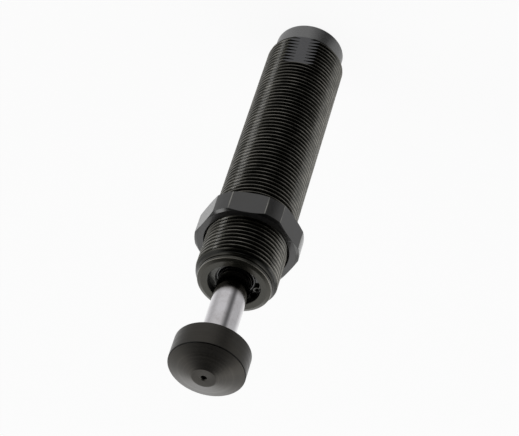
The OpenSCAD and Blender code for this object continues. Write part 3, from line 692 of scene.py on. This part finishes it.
# Painted shade: a dark line round the turned edge of the shoulder.
edge = add_node(nodes, "ShaderNodeMath", (height, CAP_SHOULDER - 0.05, 0.16), operation="COMPARE")
film = add_node(nodes, "ShaderNodeMix", {
    0: edge.outputs[0], 6: film.outputs[2], 7: linear("#151514"),
}, data_type="RGBA")
nodes.links.new(film.outputs[2], shader.inputs["Base Color"])
tool_marks(nodes, shader, radius, height, 4, (0.29, 0.43), 0.8)
spin_way = add_node(nodes, "ShaderNodeTangent", direction_type="RADIAL", axis="Z")
nodes.links.new(spin_way.outputs[0], shader.inputs["Tangent"])
cap = smoothed(new_piece("button_head", turned_mesh("button_head", [
    (CAP_SOCKET_R, CAP_LOW, 0.1),
    (CAP_R, CAP_LOW, CAP_REAR_RIM),
    (CAP_R, CAP_SHOULDER, CAP_FRONT_RIM),
    (CAP_DISC_R, CAP_TOP, 0.15),
    (CAP_HOLE_R + CAP_HOLE_SINK, CAP_TOP, 0.05),
    (CAP_HOLE_R, CAP_TOP - CAP_HOLE_SINK, 0.05),
    (CAP_HOLE_R, CAP_TOP - CAP_HOLE_DEPTH, 0),
    (0, CAP_TOP - CAP_HOLE_DEPTH - CAP_HOLE_R * math.tan(math.pi / 6), 0),
    (0, CAP_SOCKET_TOP, 0),
    (CAP_SOCKET_R, CAP_SOCKET_TOP, 0),
], around=128), cap_oxide))
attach(cap, "rod")
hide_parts("button_cap")

# Front circlip: stamped spring steel, sprung into its groove in the body's mouth, where it keeps
# the gland in. It tapers towards its ends, and each end has a lug with a hole for the pliers.
CLIP_TAPER, CLIP_HALF_GAP, CLIP_BREAK = 0.708, 9.0, 0.1
FRONT_CLIP = {"outer": 8.35, "opening": 6.0, "low": 104.4, "high": 105.4, "gap": 137}
CLIP_COLOUR = "#686865"
clip_steel, nodes, shader = new_material("phosphated_spring_steel", Metallic=0.8)
in_mm = round_place(nodes)[0]
# Phosphate gives a fine crystal grain, drawn at a quarter of a millimetre, and no tool marks.
crystals = add_node(nodes, "ShaderNodeTexVoronoi", {"Vector": in_mm, "Scale": 4})
film = add_node(nodes, "ShaderNodeMix", {
    0: crystals.outputs["Distance"], 6: linear(CLIP_COLOUR), 7: linear("#52524f"),
}, data_type="RGBA")
nodes.links.new(film.outputs[2], shader.inputs["Base Color"])
dullness = add_node(nodes, "ShaderNodeMapRange", {
    "Value": crystals.outputs["Distance"], "To Min": 0.28, "To Max": 0.42,
})
nodes.links.new(dullness.outputs["Result"], shader.inputs["Roughness"])


def stamped(name, outlines, low, high):
    """A steel plate stamped to outlines of (x, y) points in mm: its outside, then its holes."""
    drawing = bpy.data.curves.new(name, "CURVE")
    drawing.dimensions, drawing.fill_mode = "2D", "BOTH"
    drawing.extrude = ((high - low) / 2 - CLIP_BREAK) * MM
    drawing.bevel_depth, drawing.bevel_resolution = CLIP_BREAK * MM, 1
    drawing.offset = -CLIP_BREAK * MM
    for outline in outlines:
        line = drawing.splines.new("POLY")
        line.points.add(len(outline) - 1)
        line.use_cyclic_u = True
        for point, (x, y) in zip(line.points, outline):
            point.co = (x * MM, y * MM, 0, 1)
    drawn = bpy.data.objects.new(name, drawing)
    bpy.context.scene.collection.objects.link(drawn)
    graph = bpy.context.evaluated_depsgraph_get()
    data = bpy.data.meshes.new_from_object(drawn.evaluated_get(graph), depsgraph=graph)
    bpy.data.objects.remove(drawn)
    data.transform(Matrix.Translation((0, 0, (low + high) / 2 * MM)))
    return made_plain(new_piece(name, data, clip_steel))


def circle(x, y, r, start=0, end=360, steps=48):
    """Points on an arc in mm, without its last one where it goes all the way round."""
    count = steps if end - start == 360 else steps + 1
    turn = [math.radians(start + (end - start) * k / steps) for k in range(count)]
    return [(x + r * math.cos(t), y + r * math.sin(t)) for t in turn]


def new_circlip(name, outer, opening, low, high, gap):
    """A circlip with its two plier holes, and its gap at that bearing in degrees."""
    lug_r = (outer - opening) / 2 + 0.05
    lug_out = outer - lug_r
    lug_turn = CLIP_HALF_GAP + math.degrees(math.asin(lug_r / lug_out))
    inner_r = opening + CLIP_TAPER
    lug_x = lug_out * math.cos(math.radians(lug_turn))
    lug_y = lug_out * math.sin(math.radians(lug_turn))
    reach = 180
    while math.dist(
        circle(lug_x, lug_y, lug_r, lug_turn - reach, lug_turn)[0], (CLIP_TAPER, 0),
    ) < inner_r:
        reach += 1
    meet = circle(lug_x, lug_y, lug_r, lug_turn - reach, lug_turn, 28)
    inner_turn = math.degrees(math.atan2(meet[0][1], meet[0][0] - CLIP_TAPER))
    outline = circle(0, 0, outer, lug_turn, 360 - lug_turn, 120)
    outline += [(x, -y) for x, y in reversed(meet)][1:]
    outline += circle(CLIP_TAPER, 0, inner_r, 360 - inner_turn, inner_turn, 100)[1:-1]
    outline += meet[:-1]
    holes = [circle(lug_x, y, lug_r / 2, steps=20) for y in (lug_y, -lug_y)]
    c, s = math.cos(math.radians(gap)), math.sin(math.radians(gap))
    turned = [[(x * c - y * s, x * s + y * c) for x, y in line] for line in (outline, *holes)]
    return smoothed(stamped(name, turned, low, high))


front_clip = new_circlip("front_circlip_ring", **FRONT_CLIP)
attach(front_clip, "housing")
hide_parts("front_circlip")

# Wiper: a ring moulded from nitrile rubber and pressed into the gland's mouth, whose lip keeps
# dirt off the rod's chrome.
WIPER_LOW, WIPER_TOP, WIPER_FACE, WIPER_R = 101.4, 105.0, 104.4, 6.97
WIPER_NOSE_R, WIPER_LIP_R, WIPER_THROAT_R = 5.8, 5.03, 5.415
RUBBER = "#1c1c1c"

# Nitrile rubber: near black with a wet sheen from the oil. The mould's ground face leaves rings
# finer than the eye, drawn at a fifth of a millimetre.
rubber = ringed_finish(
    "moulded_nitrile_rubber", (RUBBER, "#262624"), (1.2, 5), (5, (0.28, 0.42), 0.2),
    IOR=1.52, Coat_Weight=0.7, Coat_Roughness=0.12,
)
wiper = smoothed(new_piece("rod_wiper", turned_mesh("rod_wiper", [
    (WIPER_THROAT_R, WIPER_LOW, 0),
    (WIPER_R, WIPER_LOW, 0.1),
    (WIPER_R, WIPER_FACE, 0.1),
    (WIPER_NOSE_R, WIPER_FACE, 0.06),
    (WIPER_NOSE_R, WIPER_TOP, 0.25),
    (WIPER_THROAT_R, WIPER_TOP, 0.08),
    (WIPER_LIP_R, WIPER_TOP - 0.5, 0.05),
    (WIPER_THROAT_R, WIPER_TOP - 1, 0),
]), rubber), 40)
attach(wiper, "housing")
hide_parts("wiper_seal")

# Gland: the turned steel sleeve that closes the front of the body. It holds the bush, the rod
# seal and the wiper inside, and the O-ring in a groove outside.
GLAND_LOW, GLAND_TOP, GLAND_R, GLAND_BORE_R = 88.02, 104.4, 7.97, 5.3
BUSH_POCKET_R, BUSH_POCKET_TOP, SEAL_LOW, SEAL_TOP, SEAL_POCKET_R = 5.8, 94.62, 97.1, 100.4, 6.93
GLAND_GROOVE_LOW, GLAND_GROOVE_TOP, GLAND_GROOVE_R = 95.02, 96.7, 6.77
STEEL = "#8b8b8d"
# Bright turned steel under a drifting film of oil.
machined_steel = ringed_finish(
    "turned_free_cutting_steel", (STEEL, "#7a7772"), (0.3, 4), (6, (0.2, 0.36), 0.35), Metallic=1.0,
)
gland = smoothed(new_piece("seal_gland", turned_mesh("seal_gland", [
    (BUSH_POCKET_R, GLAND_LOW, 0.15),
    (GLAND_R, GLAND_LOW, 0.3),
    (GLAND_R, GLAND_GROOVE_LOW, 0.1),
    (GLAND_GROOVE_R, GLAND_GROOVE_LOW, 0.1),
    (GLAND_GROOVE_R, GLAND_GROOVE_TOP, 0.1),
    (GLAND_R, GLAND_GROOVE_TOP, 0.1),
    (GLAND_R, GLAND_TOP, 0.2),
    (WIPER_R + 0.03, GLAND_TOP, 0.1),
    (WIPER_R + 0.03, WIPER_LOW, 0),
    (GLAND_BORE_R, WIPER_LOW, 0.1),
    (GLAND_BORE_R, SEAL_TOP, 0.1),
    (SEAL_POCKET_R, SEAL_TOP, 0),
    (SEAL_POCKET_R, SEAL_LOW, 0),
    (GLAND_BORE_R, SEAL_LOW, 0.1),
    (GLAND_BORE_R, BUSH_POCKET_TOP, 0.1),
    (BUSH_POCKET_R, BUSH_POCKET_TOP, 0),
]), machined_steel))
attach(gland, "housing")
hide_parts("gland")

# Guide bush: a sintered bronze sleeve pressed into the gland, which the rod runs in. Its pores
# hold oil, so it looks matt and finely speckled.
# Sintered bronze: yellow-brown, with dark pores.
bronze, nodes, shader = new_material("sintered_bronze", Metallic=1.0)
in_mm, radius, height = round_place(nodes)
pores = add_node(nodes, "ShaderNodeTexVoronoi", {"Vector": in_mm, "Scale": 5})
speckle = add_node(nodes, "ShaderNodeMapRange", {
    "Value": pores.outputs["Distance"], "From Min": 0.1, "From Max": 0.5,
})
film = add_node(nodes, "ShaderNodeMix", {
    0: speckle.outputs["Result"], 6: linear("#8a6a3c"), 7: linear("#c4a269"),
}, data_type="RGBA")
nodes.links.new(film.outputs[2], shader.inputs["Base Color"])
tool_marks(nodes, shader, radius, height, 6, (0.35, 0.55), 0.3)


def finish_cad(material, *names):
    """Gives turned or moulded pieces whose solid is already right their material."""
    for name in names:
        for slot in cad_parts[name].material_slots:
            slot.material = material


finish_cad(bronze, "guide_bush")

# Rod seal and back-up ring: a dark polyurethane lip seal holds the oil, and a white PTFE ring
# behind it keeps it from being squeezed along the rod.
# Polyurethane: slate blue with a waxy sheen. PTFE: off-white and dull.
seal_lip = ringed_finish(
    "cast_polyurethane", ("#596976", "#4c5a66"), (0.8, 4), (4, (0.3, 0.45), 0.15), IOR=1.5,
)
finish_cad(seal_lip, "rod_seal")
ptfe = ringed_finish(
    "turned_ptfe", ("#e2ded6", "#d3cec3"), (0.6, 3), (6, (0.45, 0.6), 0.3), IOR=1.35,
)
finish_cad(ptfe, "backup_ring")

# O-rings: rings moulded from nitrile rubber, squeezed in the grooves of the gland and of the rear
# plug to keep the oil in.
finish_cad(rubber, "gland_o_ring", "rear_o_ring")

# Accumulator: a turned cage round the rod carries a sleeve of closed-cell foam, which gives way
# by the rod's volume as the rod goes in. The foam is moulded, dense and crowned a little.
FOAM_LOW, FOAM_TOP, FOAM_INNER_R, FOAM_R = 64.1, 86.44, 6.4, 9.3
finish_cad(machined_steel, "accumulator_cage")
foam_skin, nodes, shader = new_material("closed_cell_nitrile_foam", Roughness=0.85)
in_mm = round_place(nodes)[0]
# Foam skin: matt dark grey. Its cells are about 0.1 mm across, drawn at 0.4 mm to show at all.
cells = add_node(nodes, "ShaderNodeTexVoronoi", {"Vector": in_mm, "Scale": 2.5, "Randomness": 0.9})
film = add_node(nodes, "ShaderNodeMix", {
    0: cells.outputs["Distance"], 6: linear("#2a2a2c"), 7: linear("#4b4b4e"),
}, data_type="RGBA")
nodes.links.new(film.outputs[2], shader.inputs["Base Color"])
relief = add_node(nodes, "ShaderNodeBump", {
    "Height": cells.outputs["Distance"], "Strength": 0.7, "Distance": 0.1 * MM,
})
nodes.links.new(relief.outputs["Normal"], shader.inputs["Normal"])
foam_middle = (FOAM_LOW + FOAM_TOP) / 2
foam = smoothed(new_piece("foam_sleeve", turned_mesh("foam_sleeve", [
    (FOAM_INNER_R, FOAM_LOW, 0.3),
    (FOAM_R - 0.25, FOAM_LOW, 0.7),
    (FOAM_R - 0.12, (FOAM_LOW + foam_middle) / 2 - 2, 0),
    (FOAM_R, foam_middle, 4),
    (FOAM_R - 0.12, (FOAM_TOP + foam_middle) / 2 + 2, 0),
    (FOAM_R - 0.25, FOAM_TOP, 0.7),
    (FOAM_INNER_R, FOAM_TOP, 0.3),
], steps=5), foam_skin))
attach(foam, "housing")
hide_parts("accumulator_foam")

# Rod guide and pressure tube: both steel. The tube is honed for the piston and stands on the rear
# plug, and the turned guide closes its front. Honing leaves the tube brighter than turned steel.
honed_steel = ringed_finish(
    "honed_steel", ("#a9a9ab", "#95938f"), (0.25, 4), (9, (0.12, 0.24), 0.15), Metallic=1.0,
)
finish_cad(machined_steel, "rod_guide")
finish_cad(honed_steel, "pressure_tube")

# Piston: turned steel. It and its plate are held on the rod by the nut, and the bronze check ring
# floats between them and lets the oil back as the rod comes out.
finish_cad(honed_steel, "piston", "piston_plate")
finish_cad(machined_steel, "piston_nut")
finish_cad(bronze, "check_ring")

# Return spring and its seat: drawn wire wound on a mandrel, nine turns with a closed one at each
# end. It stands on the plug and pushes the seat, and so the rod, out.
SPRING_LOW, SPRING_HIGH, SPRING_COIL_R, WIRE = 9.65, 46.62, 5.85, 1.2
SPRING_TURNS, CLOSED_PITCH, SPRING_SEAT_LOW, ROD_STROKE = 9, 1.25, 47.27, 25.0
# The die's scratches run along the wire, so they repeat across its height and radius.
wire_steel = ringed_finish(
    "drawn_spring_wire", ("#8f8f93", "#6f6e6d"), (0.7, 5), (9, (0.25, 0.4), 0.2), Metallic=1.0,
)

spring_sizes = {
    "Coil Radius": SPRING_COIL_R * MM, "Wire Radius": WIRE / 2 * MM, "Low": SPRING_LOW * MM,
    "High": SPRING_HIGH * MM, "Closed Pitch": CLOSED_PITCH * MM, "Turns": float(SPRING_TURNS),
}
spring_counts = {"Steps In A Turn": 40}
wind_spring, known = new_tree("wind_spring", spring_sizes, spring_counts)
add_row(wind_spring, "ShaderNodeMath", known, (
    ("steps", "MULTIPLY", "Turns", "Steps In A Turn"), ("points", "ADD", "steps", 1),
    ("turned", "DIVIDE", "index", "Steps In A Turn"),
    ("open turns", "SUBTRACT", "Turns", 2),
    ("open length", "SUBTRACT", "High", "Low"), ("closed length", "MULTIPLY", "Closed Pitch", 2),
    ("open length", "SUBTRACT", "open length", "closed length"),
    ("open pitch", "DIVIDE", "open length", "open turns"),
    ("in open", "SUBTRACT", "turned", 1), ("in open", "MAXIMUM", "in open", 0),
    ("in open", "MINIMUM", "in open", "open turns"),
    ("in closed", "SUBTRACT", "turned", "in open"),
    ("z", "MULTIPLY", "in closed", "Closed Pitch"),
    ("z", "MULTIPLY_ADD", "in open", "open pitch", "z"), ("z", "ADD", "z", "Low"),
    ("angle", "MULTIPLY", "turned", 2 * math.pi),
    ("x", "COSINE", "angle"), ("x", "MULTIPLY", "Coil Radius", "x"),
    ("y", "SINE", "angle"), ("y", "MULTIPLY", "Coil Radius", "y"),
))
wire_line = add_node(wind_spring, "GeometryNodeResampleCurve", {
    "Curve": add_node(wind_spring, "GeometryNodeCurvePrimitiveLine").outputs[0],
    "Count": known["points"],
})
wire_section = add_node(wind_spring, "GeometryNodeCurvePrimitiveCircle", {
    "Resolution": 14, "Radius": known["Wire Radius"],
})
wound = add_node(wind_spring, "GeometryNodeCurveToMesh", {
    "Curve": moved_to(wind_spring, known, wire_line.outputs[0]),
    "Profile Curve": wire_section.outputs[0], "Fill Caps": True,
})
end_tree(wind_spring, known, wound.outputs[0])

spring = new_piece("wound_spring", bpy.data.meshes.new("wound_spring"), wire_steel)
run_tree(spring, wind_spring, {**spring_sizes, **spring_counts, "Material": wire_steel})
smoothed(spring, 60)
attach(spring, "housing")
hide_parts("return_spring")
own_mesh(spring)
finish_cad(machined_steel, "spring_seat")

# Rear plug: the turned steel disc that closes the rear of the body and seats the pressure tube.
# The oil is filled through its middle, and an O-ring lies in its groove.
PLUG_LOW, PLUG_FRONT, PLUG_TOP, PLUG_R, TUBE_SEAT_R = 2.6, 9.0, 10.5, 9.47, 8.73
PLUG_GROOVE_LOW, PLUG_GROOVE_TOP, PLUG_GROOVE_R = 4.82, 6.78, 8.07
FILL_R, FILL_TOP, PASSAGE_R = 2.03, 7.9, 0.75
plug = smoothed(new_piece("rear_closing_plug", turned_mesh("rear_closing_plug", [
    (FILL_R, PLUG_LOW, 0.15),
    (PLUG_R, PLUG_LOW, 0.3),
    (PLUG_R, PLUG_GROOVE_LOW, 0.1),
    (PLUG_GROOVE_R, PLUG_GROOVE_LOW, 0.1),
    (PLUG_GROOVE_R, PLUG_GROOVE_TOP, 0.1),
    (PLUG_R, PLUG_GROOVE_TOP, 0.1),
    (PLUG_R, PLUG_TOP, 0.2),
    (TUBE_SEAT_R, PLUG_TOP, 0.15),
    (TUBE_SEAT_R, PLUG_FRONT, 0),
    (PASSAGE_R, PLUG_FRONT, 0),
    (PASSAGE_R, FILL_TOP, 0),
    (FILL_R, FILL_TOP, 0),
]), machined_steel))
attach(plug, "housing")
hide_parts("rear_plug")

# Rear circlip: spring steel, stamped like the front one and a size larger, sprung into its groove
# behind the plug, which it keeps in.
REAR_CLIP = {"outer": 9.85, "opening": 7.35, "low": 1.6, "high": 2.6, "gap": -90}
rear_clip = new_circlip("rear_circlip_ring", **REAR_CLIP)
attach(rear_clip, "housing")
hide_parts("rear_circlip")

# Fill screw: a hexagon socket screw of blackened steel, screwed into the plug, where it presses
# the sealing ball home.
SCREW_R, SCREW_LOW, SCREW_TOP, SOCKET_ACROSS, SOCKET_TOP = 2.0, 2.7, 5.65, 2.0, 4.175
screw = new_piece("fill_screw_finished", turned_mesh("fill_screw_finished", [
    (0, SCREW_LOW, 0),
    (SCREW_R, SCREW_LOW, 0.3),
    (SCREW_R, SCREW_TOP, 0.3),
    (0, SCREW_TOP, 0),
], around=64), cap_oxide)
socket_bar = hexagon_prism("socket_bar", SOCKET_ACROSS, SCREW_LOW - 1, SOCKET_TOP, cap_oxide)
mill(screw, socket_bar)
smoothed(screw)
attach(screw, "housing")
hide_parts("fill_screw")

# Sealing ball: a bearing ball of hard steel, ground and lapped, which the fill screw holds on its
# seat in the plug.

# Lapping leaves it a clear mirror, dulled a little where the oil lies on it.
ball_steel, nodes, shader = new_material("lapped_bearing_steel", Metallic=1.0)
in_mm = round_place(nodes)[0]
oil_film = add_node(nodes, "ShaderNodeTexNoise", {"Vector": in_mm, "Scale": 0.9, "Detail": 3})
film = add_node(nodes, "ShaderNodeMix", {
    0: oil_film.outputs["Fac"], 6: linear("#d6d6d8"), 7: linear("#c6c5c4"),
}, data_type="RGBA")
nodes.links.new(film.outputs[2], shader.inputs["Base Color"])
dullness = add_node(nodes, "ShaderNodeMapRange", {
    "Value": oil_film.outputs["Fac"], "To Min": 0.05, "To Max": 0.12,
})
nodes.links.new(dullness.outputs["Result"], shader.inputs["Roughness"])
finish_cad(ball_steel, "fill_ball")

# Camera: it stands in front of the object and above it, looks down on it through a long lens,
# and is turned so that the rod points down in the picture.
CAMERA_PLACE, CAMERA_LENS, SENSOR_WIDTH = (-0.0977, -0.4355, 0.4996), 141.07, 36
CAMERA_RIGHT, CAMERA_UP = Vector((-0.97466, 0, -0.2237)), Vector((0.15887, -0.70395, -0.6922))
camera_data = bpy.data.cameras.new("camera")
camera_data.lens, camera_data.sensor_width = CAMERA_LENS, SENSOR_WIDTH
camera = bpy.data.objects.new("camera", camera_data)
bpy.context.scene.collection.objects.link(camera)
turned = Matrix((CAMERA_RIGHT, CAMERA_UP, CAMERA_RIGHT.cross(CAMERA_UP))).transposed()
camera.matrix_world = Matrix.Translation(CAMERA_PLACE) @ turned.to_4x4()
bpy.context.scene.camera = camera

# Floor: a plain pale sheet under the rear face. What polished steel mirrors of the room changes
# with its bearing: white cards on the far side, grey walls at both sides, and on the near side a
# lighter wall with a dark gap next to it.
WHITE_CARD, NEAR_WALL, SIDE_WALL, DARK_GAP = "#ffffff", "#e0e0e0", "#c8c8c8", "#707070"
FLOOR_SIZE, FLOOR_GLOW = 6, 0.92  # metres to an edge, and how much of it glows to the camera
SURROUND = (
    (40, WHITE_CARD), (120, WHITE_CARD), (160, SIDE_WALL), (180, SIDE_WALL), (210, SIDE_WALL),
    (230, DARK_GAP), (240, DARK_GAP), (270, NEAR_WALL), (310, NEAR_WALL), (350, SIDE_WALL),
)


def fill_ramp(ramp):
    """The surround's greys by bearing in degrees, on a ramp that starts and ends at 180."""
    stops = sorted(((bearing + 180) % 360 / 360, colour) for bearing, colour in SURROUND)
    ramp.elements.remove(ramp.elements[1])
    ramp.elements[0].position = stops[0][0]
    ramp.elements[0].color = linear(stops[0][1])
    for position, colour in stops[1:]:
        ramp.elements.new(position).color = linear(colour)


floor_mesh = bmesh.new()
bmesh.ops.create_grid(floor_mesh, x_segments=1, y_segments=1, size=FLOOR_SIZE)
floor_data = bpy.data.meshes.new("floor")
floor_mesh.to_mesh(floor_data)
floor_mesh.free()
floor_paint, nodes, shader = new_material("floor_white_paper", Roughness=0.9)
shader.inputs["Base Color"].default_value = linear("#f4f4f4")
shader.inputs["Specular IOR Level"].default_value = 0
ray = add_node(nodes, "ShaderNodeLightPath").outputs
share = add_node(nodes, "ShaderNodeMath", (ray["Is Camera Ray"], FLOOR_GLOW), operation="MULTIPLY")
glow = add_node(nodes, "ShaderNodeEmission", {"Color": (1, 1, 1, 1), "Strength": 1})
paper = add_node(nodes, "ShaderNodeMixShader", (
    share.outputs[0], shader.outputs[0], glow.outputs[0],
))
place = add_node(nodes, "ShaderNodeTexCoord").outputs["Object"]
bearing = add_node(nodes, "ShaderNodeTexGradient", {"Vector": place}, gradient_type="RADIAL")
surround = add_node(nodes, "ShaderNodeValToRGB", (bearing.outputs["Fac"],))
fill_ramp(surround.color_ramp)
surround_glow = add_node(nodes, "ShaderNodeEmission", {"Color": surround.outputs[0], "Strength": 1})
paper = add_node(nodes, "ShaderNodeMixShader", (
    ray["Is Glossy Ray"], paper.outputs[0], surround_glow.outputs[0],
))
nodes.links.new(paper.outputs[0], nodes.nodes["Material Output"].inputs["Surface"])
floor = new_piece("floor", floor_data, floor_paint)

# Light: pale walls all round and three soft lamps. The sky is dark overhead and down the camera's
# side, and two small flags, one to the right and one at the back, dim it only partly.
SKY_STRENGTH, LOW_WALL_TOP, LOW_WALL_FULL = 1.25, 0.45, 0.15
DARK_WAYS = (  # the way it lies, the cosines of its edge and its core from there, its brightness
    ((0, 0, 1), 0.70, 0.90, 0.024), ((-0.074, -0.334, 0.940), 0.643, 0.906, 0.024),
    ((-0.19, -0.86, 0.48), 0.70, 0.90, 0.024), ((0.664, 0.11, 0.74), 0.965, 0.988, 0.38),
    ((0.2, 0.93, 0.31), 0.95, 0.99, 0.45),
)
world = bpy.data.worlds.new("studio")
bpy.context.scene.world = world
world.use_nodes = True
nodes = world.node_tree
nodes.nodes.clear()
toward = add_node(nodes, "ShaderNodeTexCoord").outputs["Generated"]
opening = 1.0
for dark_way, edge, core, darkest in DARK_WAYS:
    facing = add_node(nodes, "ShaderNodeVectorMath", (toward, dark_way), operation="DOT_PRODUCT")
    gap = add_node(nodes, "ShaderNodeMapRange", {
        "Value": facing.outputs["Value"], "From Min": edge, "From Max": core,
        "To Min": 1.0, "To Max": darkest,
    }, interpolation_type="SMOOTHSTEP")
    opening = add_node(nodes, "ShaderNodeMath", (
        gap.outputs["Result"], opening,
    ), operation="MULTIPLY").outputs[0]
opening = add_node(nodes, "ShaderNodeMath", (opening, SKY_STRENGTH), operation="MULTIPLY")
ray = add_node(nodes, "ShaderNodeLightPath").outputs
bearing = add_node(nodes, "ShaderNodeTexGradient", {"Vector": toward}, gradient_type="RADIAL")
surround = add_node(nodes, "ShaderNodeValToRGB", (bearing.outputs["Fac"],))
fill_ramp(surround.color_ramp)
level = add_node(nodes, "ShaderNodeSeparateXYZ", (toward,)).outputs["Z"]
low = add_node(nodes, "ShaderNodeMapRange", {
    "Value": level, "From Min": LOW_WALL_TOP, "From Max": LOW_WALL_FULL,
})
low_glossy = add_node(nodes, "ShaderNodeMath", (
    low.outputs["Result"], ray["Is Glossy Ray"],
), operation="MULTIPLY")
walls = add_node(nodes, "ShaderNodeMix", {
    0: low_glossy.outputs[0], 6: (1, 1, 1, 1), 7: surround.outputs[0],
}, data_type="RGBA")
strength = add_node(nodes, "ShaderNodeMix", {
    0: ray["Is Camera Ray"], 2: opening.outputs[0], 3: 1.0,
}, data_type="FLOAT")
sky = add_node(nodes, "ShaderNodeBackground", {
    "Color": walls.outputs[2], "Strength": strength.outputs[0],
})
add_node(nodes, "ShaderNodeOutputWorld", (sky.outputs[0],))


LAMP_AIM = Vector((0, 0, 0.07))


def soft_lamp(name, azimuth, elevation, distance, size, power):
    """A square soft box that looks at the middle of the object."""
    lamp_data = bpy.data.lights.new(name, "AREA")
    lamp_data.shape, lamp_data.size, lamp_data.energy = "SQUARE", size, power
    lamp = bpy.data.objects.new(name, lamp_data)
    lamp.visible_camera = False
    bpy.context.scene.collection.objects.link(lamp)
    a, e = math.radians(azimuth), math.radians(elevation)
    way = Vector((math.cos(a) * math.cos(e), math.sin(a) * math.cos(e), math.sin(e)))
    facing = way.to_track_quat("Z", "Y").to_matrix().to_4x4()
    lamp.matrix_world = Matrix.Translation(LAMP_AIM + way * distance) @ facing


soft_lamp("lamp_back", 80, 8, 1.3, 0.9, 2)
soft_lamp("lamp_right", -5, 52, 1.2, 0.2, 0.8)
soft_lamp("lamp_left", 140, 41, 1.2, 0.5, 1.6)

bpy.context.scene.view_settings.view_transform = "Standard"
